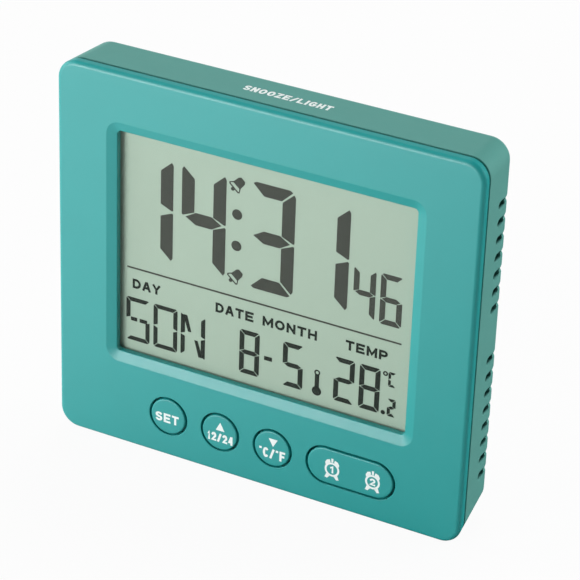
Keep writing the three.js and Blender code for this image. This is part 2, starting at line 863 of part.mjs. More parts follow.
// A carbon pill stops short of the board by the key's travel, so that it just meets the board.
const keyPillBackY = boardY - keyTravel - layerGap;
const rockerSwing =
  (rockerContactSpacing / 2 + pillRadius) * Math.sin(THREE.MathUtils.degToRad(rockerTiltDegrees));
const rockerPillBackY = boardY - rockerSwing - layerGap;
const contacts = [
  ...keyXs.map((x) => ({ x, pillBackY: keyPillBackY })),
  ...rockerContactXs.map((x) => ({ x, pillBackY: rockerPillBackY })),
];

function makePill({ x, pillBackY }) {
  return postY(x, keyCentreZ, pillRadius, pillBackY - pillThickness, pillBackY, pinSides);
}

function makeKeypad() {
  let pad = slab(
    roundedOutline(keypadLeftX, keypadRightX, keypadBottomZ, keypadTopZ, boardCornerRadius),
    keypadFrontY,
    keypadBackY,
  );
  const hollowRadius = domeBaseRadius - domeSkirt;
  for (const { x } of contacts) {
    const domeEndY = keypadFrontY + layerGap;
    pad = join(pad, postY(x, keyCentreZ, domeTopRadius, domeTopY, domeEndY, postSides, domeBaseRadius));
  }
  for (const { x, pillBackY } of contacts) {
    const hollow = postY(x, keyCentreZ, hollowRadius, domeTopY + domeWall, keypadBackY + overrun, pinSides);
    const bossBackY = pillBackY - pillThickness - layerGap;
    const boss = postY(x, keyCentreZ, bossRadius, domeTopY + domeWall / 2, bossBackY, pinSides);
    pad = join(cut(pad, hollow), boss);
  }
  return pad;
}

// Circuit board and what is soldered to it
function makeBoard() {
  const outline = roundedOutline(-innerHalfWidth, innerHalfWidth, boardBottomZ, boardTopZ, boardCornerRadius);
  let board = slab(outline, boardY, boardBackY);
  for (const [x, z] of boardScrewPlaces) {
    const holeRadius = boardScrew.shankRadius + screwGap;
    board = cut(board, postY(x, z, holeRadius, boardY - overrun, boardBackY + overrun, holeSides));
  }
  return board;
}

function makeChipResin() {
  const profile = [[0, 0]];
  const steps = 4;
  for (let step = 0; step <= steps; step++) {
    const angle = ((Math.PI / 2) * step) / steps;
    profile.push([chipRadius * Math.cos(angle), chipHeight * Math.sin(angle)]);
  }
  profile.at(-1)[0] = 0;
  return turned(profile, "y", chipX, boardBackY + layerGap, chipZ);
}

function makeCrystal() {
  const y = boardBackY + layerGap + crystalRadius;
  return barX(crystalX - crystalLength / 2, crystalX + crystalLength / 2, y, chipZ, crystalRadius, holeSides);
}

function makeCapacitor(z) {
  const y = boardBackY + layerGap + capacitorRadius;
  return barX(chipX - capacitorLength / 2, chipX + capacitorLength / 2, y, z, capacitorRadius);
}

function makeTemperatureBead() {
  const footX = innerHalfWidth - legSpacing;
  const beadX = innerHalfWidth + beadReach;
  const beadY = boardBackY + componentRoom / 2;
  const ball = new THREE.SphereGeometry(beadRadius, holeSides, holeSides / 2);
  ball.translate(beadX, beadY, beadZ);
  const legs = [-1, 1].map((side) => {
    const z = beadZ + (side * legSpacing) / 2;
    const points = [
      new THREE.Vector3(footX, boardBackY + layerGap, z),
      new THREE.Vector3(footX + legSpacing / 2, beadY - beadRadius / 2, z),
      new THREE.Vector3(beadX, beadY, z),
    ];
    return wire(points, legRadius, legSteps);
  });
  return join(solid(ball), ...legs);
}

// Touch zone: a foil under the top wall and a leaf that reaches it from the board.
const electrodeY = skirtEndY + airGap;
const wallBottomZ = caseHeight - topDraft * taperShare(electrodeY + electrodeDepth) - caseWall;
const electrodeTopZ = wallBottomZ - fitGap;
const electrodeBottomZ = electrodeTopZ - electrodeThickness;

function makeElectrode() {
  const half = electrodeWidth / 2;
  return box(-half, half, electrodeY, electrodeY + electrodeDepth, electrodeBottomZ, electrodeTopZ);
}

function makeLeaf() {
  const footY = boardBackY + layerGap;
  const tipZ = electrodeBottomZ - layerGap;
  const footBottomZ = boardTopZ - airGap - leafFoot;
  const profile = [
    [footY, footBottomZ],
    [footY + leafThickness, footBottomZ],
    [footY + leafThickness, tipZ - leafThickness],
    [footY + leafReach, tipZ - leafThickness],
    [footY + leafReach, tipZ],
    [footY, tipZ],
  ];
  return profileX(profile, -leafWidth / 2, leafWidth / 2);
}

// Buzzer
const discBackY = innerBackY - seatHeight / 2 - layerGap;
const ceramicBackY = discBackY - discThickness - layerGap;

function makeLead(startX, startY, startZ, endZ) {
  const endX = buzzerX - discRadius - 2 * seatWall;
  const endY = boardBackY + layerGap;
  const middleY = (startY + endY) / 2;
  const points = [
    new THREE.Vector3(startX, startY, startZ),
    new THREE.Vector3(startX - seatWall / 2, middleY, startZ),
    new THREE.Vector3(endX + seatWall, middleY, endZ),
    new THREE.Vector3(endX, endY, endZ),
  ];
  return wire(points, leadRadius, leadSteps);
}

// Power: cells lie on their sides, one above the other, end to end the opposite way.
const bayEndX = bayHalfWidth - fitGap;
const plateInnerX = bayEndX - contactThickness;

function makeCell(z, nubSide) {
  const bodyLength = cellLength - nubLength;
  const profile = [
    [0, 0],
    [cellRadius - cellEdge, 0],
    [cellRadius, cellEdge],
    [cellRadius, bodyLength - cellEdge],
    [cellRadius - cellEdge, bodyLength],
    [nubRadius, bodyLength],
    [nubRadius, cellLength],
    [0, cellLength],
  ];
  const cell = turned(profile, "x", -plateInnerX + springLength, cellY, z);
  return nubSide > 0 ? cell : cell.mirror([1, 0, 0]);
}

function makeContactPlate(side, bottomZ, topZ, tabZ) {
  const [x0, x1] = side > 0 ? [plateInnerX, bayEndX] : [-bayEndX, -plateInnerX];
  const frontY = bayFrontY + fitGap;
  const blade = box(x0, x1, frontY, frontY + contactDepth, bottomZ, topZ);
  if (tabZ === undefined) return blade;
  const tabHalf = tabHeight / 2;
  const tab = box(x0, x1, boardBackY + layerGap, frontY + overrun, tabZ - tabHalf, tabZ + tabHalf);
  return join(blade, tab);
}

function springPoints(side, z) {
  const count = springTurns * springSteps;
  const baseX = plateInnerX - springWire - layerGap;
  const tipX = plateInnerX - springLength + springWire + layerGap;
  const points = [];
  for (let i = 0; i <= count; i++) {
    const share = i / count;
    const angle = 2 * Math.PI * springTurns * share;
    const radius = THREE.MathUtils.lerp(springBaseRadius, springTipRadius, share);
    points.push(
      new THREE.Vector3(
        side * THREE.MathUtils.lerp(baseX, tipX, share),
        cellY + radius * Math.cos(angle),
        z + radius * Math.sin(angle),
      ),
    );
  }
  return points;
}

function makeSpring(side, z) {
  return wire(springPoints(side, z), springWire, springTurns * springSteps);
}

// The least gap between one turn of a spring and the next.
function leastSpringGap() {
  const samplesPerTurn = 4 * springSteps;
  const curve = new THREE.CatmullRomCurve3(springPoints(1, 0));
  const points = curve.getSpacedPoints(springTurns * samplesPerTurn);
  let least = Infinity;
  points.forEach((a, i) => {
    points.slice(i + samplesPerTurn / 2).forEach((b) => {
      least = Math.min(least, a.distanceTo(b) - 2 * springWire);
    });
  });
  return least;
}

// The assembly
const clock = new THREE.Group();

function place(name, manifold, material) {
  const mesh = new THREE.Mesh(toGeometry(manifold), material.clone());
  mesh.name = name;
  clock.add(mesh);
}

place("front_bezel", makeFrontBezel(), finish.face);
place("rear_case", makeRearCase(), finish.rear);
place("battery_door", makeBatteryDoor(), finish.rear);
place("battery_latch", makeBatteryLatch(), finish.rear);

place("window_lens", slab(windowOutline(lensMargin), lensY, lensY + lensThickness), finish.lens);
place("front_polariser", film(frontPolariserY), finish.polariser);
place("front_glass", plate(ledgeBottomZ, frontGlassY, glassThickness), finish.glass);
place("rear_glass", plate(glassBottomZ, rearGlassY, glassThickness), finish.glass);
place("rear_polariser", film(rearPolariserY), finish.polariser);
place("light_guide", plate(glassBottomZ, guideY, guideThickness), finish.guide);
place("reflector", plate(glassBottomZ, reflectorY, reflectorThickness), finish.white);
place("display_frame", makeDisplayFrame(), finish.white);
place("zebra_strip", makeZebraStrip(), finish.zebra);
place("backlight_led", makeBacklightLed(), finish.white);

place("set_button", makeRoundKey(keyXs[0]), finish.face);
place("up_button", makeRoundKey(keyXs[1]), finish.face);
place("down_button", makeRoundKey(keyXs[2]), finish.face);
place("alarm_rocker", makeRocker(), finish.face);
place("rubber_keypad", makeKeypad(), finish.rubber);
const pillNames = ["set_pill", "up_pill", "down_pill", "alarm_1_pill", "alarm_2_pill"];
contacts.forEach((contact, i) => place(pillNames[i], makePill(contact), finish.carbon));

place("main_board", makeBoard(), finish.board);
place("chip_resin", makeChipResin(), finish.resin);
place("crystal", makeCrystal(), finish.steel);
place("capacitor_1", makeCapacitor(upperCapacitorZ - capacitorSpacing), finish.black);
place("capacitor_2", makeCapacitor(upperCapacitorZ), finish.black);
place("temperature_bead", makeTemperatureBead(), finish.resin);
place("touch_electrode", makeElectrode(), finish.brass);
place("touch_leaf", makeLeaf(), finish.brass);

place(
  "buzzer_disc",
  postY(buzzerX, buzzerZ, discRadius, discBackY - discThickness, discBackY, discSides),
  finish.brass,
);
place(
  "buzzer_ceramic",
  postY(buzzerX, buzzerZ, ceramicRadius, ceramicBackY - ceramicThickness, ceramicBackY, discSides),
  finish.white,
);
const ceramicLeadY = ceramicBackY - ceramicThickness - leadRadius;
const discLeadY = discBackY - discThickness - leadRadius;
const discLeadX = buzzerX - (discRadius + ceramicRadius) / 2;
place(
  "buzzer_lead_red",
  makeLead(buzzerX - ceramicRadius / 2, ceramicLeadY, buzzerZ + leadSpread / 2, buzzerZ + leadSpread),
  finish.red,
);
place(
  "buzzer_lead_black",
  makeLead(discLeadX, discLeadY, buzzerZ - leadSpread / 4, buzzerZ - leadSpread),
  finish.black,
);

place("cell_lower", makeCell(lowerCellZ, 1), finish.sleeve);
place("cell_upper", makeCell(upperCellZ, -1), finish.sleeve);
place(
  "bridge_contact",
  makeContactPlate(-1, lowerCellZ - contactHeight / 2, upperCellZ + contactHeight / 2),
  finish.steel,
);
place(
  "positive_contact",
  makeContactPlate(1, lowerCellZ - contactHeight / 2, lowerCellZ + contactHeight / 2, lowerCellZ),
  finish.steel,
);
place(
  "negative_contact",
  makeContactPlate(1, upperCellZ - contactHeight / 2, upperCellZ + contactHeight / 2, upperCellZ),
  finish.steel,
);
place("lower_spring", makeSpring(-1, lowerCellZ), finish.steel);
place("upper_spring", makeSpring(1, upperCellZ), finish.steel);

caseScrewPlaces.forEach(([x, z], i) =>
  place(`case_screw_${i + 1}`, screw(caseScrew, x, z, caseScrewSeatY), finish.steel),
);
boardScrewPlaces.forEach(([x, z], i) =>
  place(`board_screw_${i + 1}`, screw(boardScrew, x, z, boardBackY + layerGap), finish.steel),
);

console.log(`least gap between the turns of a battery spring: ${leastSpringGap().toFixed(2)} mm`);

clock.position.y = (keyStandsOut - overallDepth) / 2;

export default clock;
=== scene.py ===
import json
import math

import bmesh
import bpy
from mathutils import Matrix, Vector


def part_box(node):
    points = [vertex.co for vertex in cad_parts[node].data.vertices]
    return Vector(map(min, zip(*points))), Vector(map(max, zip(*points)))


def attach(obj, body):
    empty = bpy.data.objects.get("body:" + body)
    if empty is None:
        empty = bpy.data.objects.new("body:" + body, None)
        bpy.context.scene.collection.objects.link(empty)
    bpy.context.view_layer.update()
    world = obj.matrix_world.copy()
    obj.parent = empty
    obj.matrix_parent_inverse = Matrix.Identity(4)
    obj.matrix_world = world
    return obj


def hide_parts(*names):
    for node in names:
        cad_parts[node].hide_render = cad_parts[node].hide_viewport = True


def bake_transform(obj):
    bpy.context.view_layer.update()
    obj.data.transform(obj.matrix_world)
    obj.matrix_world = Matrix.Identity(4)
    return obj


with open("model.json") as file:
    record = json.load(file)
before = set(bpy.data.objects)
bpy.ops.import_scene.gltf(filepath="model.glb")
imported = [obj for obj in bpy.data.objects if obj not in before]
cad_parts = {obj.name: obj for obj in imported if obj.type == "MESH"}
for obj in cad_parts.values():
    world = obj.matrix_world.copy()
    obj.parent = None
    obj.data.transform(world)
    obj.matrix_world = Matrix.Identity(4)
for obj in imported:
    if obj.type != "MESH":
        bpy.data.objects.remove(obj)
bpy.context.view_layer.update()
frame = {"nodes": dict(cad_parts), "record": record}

# Lengths are millimetres, and metres only under the last heading. x runs to the right, y from the face to the
# back, and z up from the table. A name that ends in HALF is half a width.
MM = 0.001
FACE_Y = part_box("front_bezel")[0].y
SAME_SPOT = 1e-6
# How far a cutter reaches past what it cuts
PAST = 1.0

# Roundness
CORNER_STEPS = 12
EDGE_STEPS = 6
KEY_STEPS = 16
WIRE_SIDES = 10
SMALL_SIDES = 24
MIDDLE_SIDES = 32
STEM_SIDES = 48
ROUND_SIDES = 64
SHARP_DEGREES = 34

# Case
CASE_HALF = 47.5
HEIGHT = 86.5
CORNER_RADIUS = 4.4
LEAST_CORNER = 0.4
FRONT_EDGE = 1.0
REAR_EDGE = 1.8
CASE_BACK = 15.0
SIDE_DRAFT = 0.8
TOP_DRAFT = 0.5
BOTTOM_RISE = 2.4
WALL = 1.6
FACE_WALL = 2.0
BEZEL_BACK = 2.3
REAR_FRONT = 3.0
SKIRT_OUTSIDE = 1.75
SKIRT_INSIDE = 2.75
SKIRT_BACK = 5.05
SKIRT_EDGE = 0.2
INNER_BACK = 13.4
PARTING_EDGE = 0.12

# Window
WINDOW_HALF = 33.7
WINDOW_BOTTOM = 22.0
WINDOW_TOP = 73.3
WINDOW_CORNER = 0.9
BEVEL_OUTER_ROUND = 0.8
BEVEL_INNER_ROUND = 0.3
BEVEL_WIDTH = 2.2
BEVEL_DEPTH = 0.85
WINDOW_DEPTH = 2.1
WINDOW_RIM = 1.3
WINDOW_ROUND = 0.1
FLAT_STRIP = 1.5

# Bosses, posts and ears behind the face
POST_ROOT = 0.15
BOSS_RADIUS = 2.6
BOSS_BACK = 9.75
POST_RADIUS = 1.7
POST_BACK = 7.35
EAR_NEAR = 5.25
EAR_FAR = 5.95
EAR_HALF = 1.3
EAR_BACK = 4.2

# Keys
KEY_Z = 9.85
KEY_RADIUS = 4.1
KEY_HOLE = 4.58
KEY_FRONT = -0.12
# How much wider the hole is than KEY_HOLE, and at which y
KEY_HOLE_LEVELS = ((0.3, -0.2), (0, 0.1), (0, FACE_WALL + 0.6))
KEY_FLAT_RADIUS = 3.2
KEY_EDGE = 0.3
KEY_XS = (-20.6, -8.15, 4.3)
ROCKER_X = 22.4
ROCKER_SPAN = 11.4
ROCKER_CONTACTS = (17.75, 27.05)
FLANGE_RADIUS = 5.1
FLANGE_EDGE = 0.15
FLANGE_THICKNESS = 0.8
ROUND_FLANGE_Y = 2.15
ROCKER_FLANGE_Y = 2.8
STEM_RADIUS = 2.1
STEM_BACK = 5.05
PIVOT_Y = 3.2
PIVOT_RADIUS = 0.5
PIVOT_REACH = 5.8

# Rear: screw wells, buzzer seat with its sound holes, side slots. Profiles are (radius, y).
SCREWS = [(x, z) for x in (-41.0, 41.0) for z in (7.6, 78.9)]
BOARD_POSTS = ((-28.3, 9.85), (35.8, 12.85), (-28.0, 80.5), (28.0, 80.5))
WELL_BOSS_RADIUS = 3.3
WELL_BOSS_FRONT = 9.9
WELL_PROFILE = ((1.15, 8.9), (1.15, 11.55), (2.2, 11.55), (2.2, 14.8), (2.7, 15.3))
# Where the bosses and the seat end, inside the back wall
ROOT_BACK = 14.2
BUZZER = (24.0, 54.0)
SEAT_RADIUS = 11.35
SEAT_FRONT = 11.8
DISC_RADIUS = 10.15
DISC_FRONT = 10.8
DISC_BACK = 12.6
SOUND_ROOM_RADIUS = 8.8
SOUND_RING_RADIUS = 4
SOUND_RING_HOLES = 6
SOUND_HOLE_PROFILE = ((0.8, 12.4), (0.8, 14.85), (1.25, 15.3))
SLOT_BOTTOM = 11.6
SLOT_PITCH = 3.881
SLOT_NUMBERS = (*range(8), *range(10, 17))
SLOT_ROUNDNESS = 0.98
# x, half the height, front and back of a slot, which is wider inside and has a rounded lip
SLOT_LEVELS = (
    (43.4, 1.5, 8.8, 12.9), (45.7, 1.5, 8.8, 12.9), (46.35, 0.76, 9.2, 12.6),
    (46.65, 0.72, 9.25, 12.55), (46.8, 0.8, 9.15, 12.65), (46.95, 1.0, 8.95, 12.95),
    (47.3, 1.6, 8.4, 13.5),
)
# Radius, start and end as (x, y) of the notches behind a slot, in the rounded edge
SLOT_NOTCHES = (
    (0.6, (47.86, 11.33), (45.16, 16.67)),
    (1.4, (48.8, 11.8), (46.1, 17.14)),
)

# Battery box, which is also the foot
BOX_HALF = 27.45
BOX_TOP = 28.75
BOX_CORNER = 3.0
BOX_FRONT = 7.0
BOX_BACK = 22.9
BOX_EDGE = 0.6
BAY_HALF = 24.85
BAY_FRONT = 10.2
BAY_BOTTOM = 3.0
BAY_TOP = 25.2
BAY_WALL = 1.0
DOOR_HALF = 25.7
DOOR_FRONT = 21.4
DOOR_BOTTOM = 2.15
DOOR_TOP = 26.35
DOOR_GAP = 0.2
RECESS_CORNER = 0.9
RECESS_DEPTH = 0.15
HINGE_Y = 22.15
HINGE_Z = 2.9
HINGE_PIN = 0.55
PIN_REACH = 0.8
PIN_ROOM = 0.15
NOTCH_HALF = 4.6
POCKET_FRONT = 19.9
POCKET_TOP = 26.55
HOOK_SLOT_FRONT = 21.1
HOOK_SLOT_BACK = 22.2
HOOK_SLOT_TOP = 27.75
TAB_SLOT_X = 24.15
TAB_SLOT_FRONT = 8.2
TAB_SLOT_BACK = 11.2
TAB_SLOT_REACH = 1.45
LOWER_CELL_Z = 8.6
UPPER_CELL_Z = 19.6


def at(x, y, z):
    return Vector((x * MM, FACE_Y + y * MM, z * MM))


# Outlines, as lists of points

def rounded(left, right, bottom, top, radius, steps=CORNER_STEPS):
    """A rectangle with round corners. Spots that fall together, as on a circle, are given once."""
    corners = (
        (right - radius, bottom + radius, -90),
        (right - radius, top - radius, 0),
        (left + radius, top - radius, 90),
        (left + radius, bottom + radius, 180),
    )
    points = []
    for x, z, start in corners:
        for step in range(steps + 1):
            angle = math.radians(start + 90 * step / steps)
            points.append((x + radius * math.cos(angle), z + radius * math.sin(angle)))
    return [p for i, p in enumerate(points) if math.dist(p, points[i - 1]) > SAME_SPOT]


def case_outline(y, inset):
    share = min(max((y - FRONT_EDGE) / (CASE_BACK - REAR_EDGE - FRONT_EDGE), 0), 1)
    half = CASE_HALF - SIDE_DRAFT * share - inset
    radius = max(CORNER_RADIUS - inset, LEAST_CORNER)
    return rounded(-half, half, BOTTOM_RISE * share + inset, HEIGHT - TOP_DRAFT * share - inset, radius)


def window_outline(margin):
    half = WINDOW_HALF + margin
    radius = WINDOW_CORNER + margin
    return rounded(-half, half, WINDOW_BOTTOM - margin, WINDOW_TOP + margin, radius)


def key_outline(x, span, radius):
    left, right = x - span / 2 - radius, x + span / 2 + radius
    return rounded(left, right, KEY_Z - radius, KEY_Z + radius, radius, KEY_STEPS)


def box_outline(inset):
    half = BOX_HALF - inset
    return rounded(-half, half, inset, BOX_TOP - inset, BOX_CORNER)


def circle(radius, sides):
    angles = [2 * math.pi * i / sides for i in range(sides)]
    return [(radius * math.cos(angle), radius * math.sin(angle)) for angle in angles]


def filleted(corners):
    """The line through corners, each (a, b, radius), with an arc of that radius at each."""
    line = []
    for i, (a, b, radius) in enumerate(corners):
        here = Vector((a, b))
        if radius == 0 or i in (0, len(corners) - 1):
            line.append((a, b))
            continue
        before = (Vector(corners[i - 1][:2]) - here).normalized()
        after = (Vector(corners[i + 1][:2]) - here).normalized()
        half_angle = before.angle(after) / 2
        centre = here + (before + after).normalized() * radius / math.sin(half_angle)
        reach = radius / math.tan(half_angle)
        start = here + before * reach - centre
        end = here + after * reach - centre
        first = math.atan2(start.y, start.x)
        turn = math.remainder(math.atan2(end.y, end.x) - first, 2 * math.pi)
        for step in range(EDGE_STEPS + 1):
            angle = first + turn * step / EDGE_STEPS
            line.append((centre.x + radius * math.cos(angle), centre.y + radius * math.sin(angle)))
    return line


# Solids

def add_object(name, data):
    obj = bpy.data.objects.new(name, data)
    bpy.context.scene.collection.objects.link(obj)
    return obj


def add_solid(name, bm):
    bmesh.ops.recalc_face_normals(bm, faces=bm.faces)
    mesh = bpy.data.meshes.new(name)
    bm.to_mesh(mesh)
    bm.free()
    return add_object(name, mesh)


def add_skin(bm, rings, closed=False):
    """Faces from ring to ring. Unless the rings close on themselves, flat faces close both ends."""
    rows = [[bm.verts.new(point) for point in ring] for ring in rings]
    count = len(rows[0])
    following = rows[1:] + (rows[:1] if closed else [])
    for row, after in zip(rows, following):
        for i in range(count):
            j = (i + 1) % count
            bm.faces.new((row[i], row[j], after[j], after[i]))
    if not closed:
        bm.faces.new(rows[0])
        bm.faces.new(rows[-1])


def skin(name, rings, closed=False):
    bm = bmesh.new()
    add_skin(bm, rings, closed)
    return add_solid(name, bm)


def loft(name, sections, closed=False):
    """Through outlines of (x, z), each with its y."""
    return skin(name, [[at(x, y, z) for x, z in outline] for outline, y in sections], closed)


def along_x(name, sections):
    """Through profiles of (y, z), each with its x."""
    return skin(name, [[at(x, y, z) for y, z in profile] for profile, x in sections])


def turned(name, axis, centre, profile, sides=ROUND_SIDES, closed=False):
    """A profile of (radius, distance) turned about an axis through centre."""
    x, y, z = centre
    rings = []
    for radius, along in profile:
        ring = circle(radius, sides)
        if axis == "x":
            rings.append([at(x + along, y + a, z + b) for a, b in ring])
        elif axis == "y":
            rings.append([at(x + a, y + along, z + b) for a, b in ring])
        else:
            rings.append([at(x + a, y + b, z + along) for a, b in ring])
    return skin(name, rings, closed)


def post(name, x, z, radius, y0, y1, sides=SMALL_SIDES):
    return turned(name, "y", (x, 0, z), [(radius, y0), (radius, y1)], sides)


def block(name, x0, x1, y0, y1, z0, z1, corner=0.0):
    if corner:
        outline = rounded(x0, x1, z0, z1, corner, EDGE_STEPS)
    else:
        outline = [(x1, z0), (x1, z1), (x0, z1), (x0, z0)]
    return loft(name, [(outline, y0), (outline, y1)])


def tube(name, points, radius, sides=WIRE_SIDES):
    """A round wire along points, each (x, y, z)."""
    path = [at(*point) for point in points]
    rings = []
    normal = None
    for i, here in enumerate(path):
        ahead = (path[min(i + 1, len(path) - 1)] - path[max(i - 1, 0)]).normalized()
        if normal is None:
            normal = ahead.orthogonal().normalized()
        normal = (normal - ahead * normal.dot(ahead)).normalized()
        side = ahead.cross(normal)
        rings.append([here + (normal * a + side * b) * MM for a, b in circle(radius, sides)])
    return skin(name, rings)


def combine(operation, base, *tools):
    """Joins or cuts base with the tools, which are used up."""
    for tool in tools:
        modifier = base.modifiers.new("combine", "BOOLEAN")
        modifier.operation = operation
        modifier.solver = "MANIFOLD"
        modifier.object = tool
    depsgraph = bpy.context.evaluated_depsgraph_get()
    plain = base.data
    base.data = bpy.data.meshes.new_from_object(base.evaluated_get(depsgraph))
    base.modifiers.clear()
    bpy.data.meshes.remove(plain)
    for tool in tools:
        bpy.data.objects.remove(tool)
    return base


def join(base, *tools):
    return combine("UNION", base, *tools)


def cut(base, *tools):
    return combine("DIFFERENCE", base, *tools)


# Materials

MATERIALS = {}
# Sockets of the colour mix
MIX_A, MIX_B, MIX_OUT = 6, 7, 2
MOTTLE_DETAIL = 4
VARY_DETAIL = 3
GRAIN_DETAIL = 2
# As a share of the mottle's size and of the grain's
VARY_SIZE = 0.25
GRAIN_DEPTH = 0.25


def srgb(*channels):
    """The colour as linear light."""
    shares = [channel / 255 for channel in channels]
    return [share / 12.92 if share <= 0.04045 else ((share + 0.055) / 1.055) ** 2.4 for share in shares]


def add_look(
    name, colour, roughness, mottle=0.03, mottle_size=9.0, vary=0.05, grain=0.16, bump=0.12, **constants
):
    """A surface whose colour and roughness vary a little, with a fine grain. Sizes are millimetres."""
    MATERIALS[name] = material = bpy.data.materials.new(name)
    material.use_nodes = True
    base = srgb(*colour)
    nodes, links = material.node_tree.nodes, material.node_tree.links
    shader = nodes["Principled BSDF"]
    place = nodes.new("ShaderNodeTexCoord")

    def noise(size, detail):
        node = nodes.new("ShaderNodeTexNoise")
        node.inputs["Scale"].default_value = 1 / (size * MM)
        node.inputs["Detail"].default_value = detail
        links.new(place.outputs["Object"], node.inputs["Vector"])
        return node.outputs["Fac"]

    tint = nodes.new("ShaderNodeMix")
    tint.data_type = "RGBA"
    for socket, factor in ((MIX_A, 1 - mottle), (MIX_B, 1 + mottle)):
        tint.inputs[socket].default_value = [min(channel * factor, 1) for channel in base] + [1]
    links.new(noise(mottle_size, MOTTLE_DETAIL), tint.inputs["Factor"])
    links.new(tint.outputs[MIX_OUT], shader.inputs["Base Color"])

    change = nodes.new("ShaderNodeMapRange")
    change.inputs["To Min"].default_value = roughness - vary
    change.inputs["To Max"].default_value = roughness + vary
    links.new(noise(mottle_size * VARY_SIZE, VARY_DETAIL), change.inputs["Value"])
    links.new(change.outputs["Result"], shader.inputs["Roughness"])

    relief = nodes.new("ShaderNodeBump")
    relief.inputs["Strength"].default_value = bump
    relief.inputs["Distance"].default_value = grain * MM * GRAIN_DEPTH
    links.new(noise(grain, GRAIN_DETAIL), relief.inputs["Height"])
    links.new(relief.outputs["Normal"], shader.inputs["Normal"])
    for socket, value in constants.items():
        shader.inputs[socket.replace("_", " ")].default_value = value


GLASS_LOOK = {"mottle": 0.01, "bump": 0.01}
INK_LOOK = {"mottle": 0.05, "bump": 0.02, "Specular_IOR_Level": 0.1}
CELL_LOOK = {"mottle": 0.04, "grain": 0.4, "bump": 0.05}

add_look("face_plastic", (14, 156, 154), 0.48, Specular_IOR_Level=1.0)
add_look("rear_plastic", (90, 158, 149), 0.56, grain=0.22, bump=0.3)
add_look("clear_lens", (150, 162, 154), 0.06, vary=0.02, Alpha=0.03, **GLASS_LOOK)
add_look("display_ground", (172, 194, 176), 0.42, mottle=0.02, mottle_size=26, grain=0.3, bump=0.05)
add_look("display_ink", (66, 69, 63), 0.5, **INK_LOOK)
add_look("fine_ink", (26, 34, 28), 0.5, **INK_LOOK)
add_look("print_white", (244, 250, 248), 0.5, mottle=0.02, grain=0.1)
add_look("display_glass", (222, 234, 226), 0.08, vary=0.03, Alpha=0.3, **GLASS_LOOK)
add_look("clear_acrylic", (238, 244, 240), 0.12, mottle=0.01, bump=0.02, Alpha=0.6)
add_look("white_plastic", (236, 236, 231), 0.5)
add_look("zebra_rubber", (214, 140, 152), 0.75, mottle=0.1, mottle_size=0.8)
add_look("keypad_rubber", (184, 187, 184), 0.72, grain=0.3)
add_look("carbon", (42, 42, 44), 0.7, mottle=0.1, mottle_size=0.6)
add_look("board_laminate", (44, 104, 68), 0.42, mottle=0.12, mottle_size=2.4)
add_look("black_resin", (24, 25, 27), 0.3, grain=0.6)
add_look("red_sleeve", (176, 48, 42), 0.45)
add_look("steel", (196, 198, 200), 0.3, mottle=0.05, mottle_size=3, Metallic=1.0)
add_look("brass", (203, 168, 92), 0.32, mottle=0.06, mottle_size=4, Metallic=1.0)
add_look("cell_sleeve", (58, 84, 104), 0.3, **CELL_LOOK)
add_look("cell_band", (214, 216, 214), 0.32, **CELL_LOOK)

# The record's slots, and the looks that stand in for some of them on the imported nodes
STAND_INS = {"polariser": "display_ground", "light_guide": "clear_acrylic", "cell_can": "cell_sleeve"}


def dress(obj, body, look, replaces=(), slot=None):
    """look is a material's name."""
    obj.data.materials.clear()
    obj.data.materials.append(MATERIALS[look])
    obj.data.shade_smooth()
    obj.data.set_sharp_from_angle(angle=math.radians(SHARP_DEGREES))
    normals = obj.modifiers.new("normals", "WEIGHTED_NORMAL")
    normals.keep_sharp = True
    if body:
        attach(obj, body)
    slot = slot or look
    if replaces:
        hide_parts(*replaces)


# Front shell: one ring of a wall, from the skirt round the outer edge, over the face and into the window

def make_front_shell():
    outside = filleted([
        (SKIRT_INSIDE, FACE_WALL, 0), (SKIRT_INSIDE, SKIRT_BACK, SKIRT_EDGE),
        (SKIRT_OUTSIDE, SKIRT_BACK, SKIRT_EDGE), (SKIRT_OUTSIDE, BEZEL_BACK, 0),
        (0, BEZEL_BACK, PARTING_EDGE), (0, 0, FRONT_EDGE), (CORNER_RADIUS, 0, 0),
    ])
    inside = filleted([
        (BEVEL_WIDTH + FLAT_STRIP, 0, 0), (BEVEL_WIDTH, 0, BEVEL_OUTER_ROUND),
        (0, BEVEL_DEPTH, BEVEL_INNER_ROUND), (0, WINDOW_DEPTH, WINDOW_ROUND),
        (WINDOW_RIM, WINDOW_DEPTH, 0), (WINDOW_RIM, FACE_WALL, 0),
    ])
    sections = [(case_outline(y, inset), y) for inset, y in outside]
    sections += [(window_outline(margin), y) for margin, y in inside]
    shell = join(loft("front_shell", sections, closed=True), *make_front_posts())
    holes = []
    for x, span in [(x, 0) for x in KEY_XS] + [(ROCKER_X, ROCKER_SPAN)]:
        levels = [(key_outline(x, span, KEY_HOLE + flare), y) for flare, y in KEY_HOLE_LEVELS]
        holes.append(loft("hole", levels))
    return cut(shell, *holes)


def make_front_posts():
    start = FACE_WALL - POST_ROOT
    posts = [post("boss", x, z, BOSS_RADIUS, start, BOSS_BACK) for x, z in SCREWS]
    posts += [post("post", x, z, POST_RADIUS, start, POST_BACK) for x, z in BOARD_POSTS]
    left, right = ROCKER_X - EAR_HALF, ROCKER_X + EAR_HALF
    for bottom, top in ((-EAR_FAR, -EAR_NEAR), (EAR_NEAR, EAR_FAR)):
        posts.append(block("ear", left, right, start, EAR_BACK, KEY_Z + bottom, KEY_Z + top))
    return posts


# Rear shell with the battery box

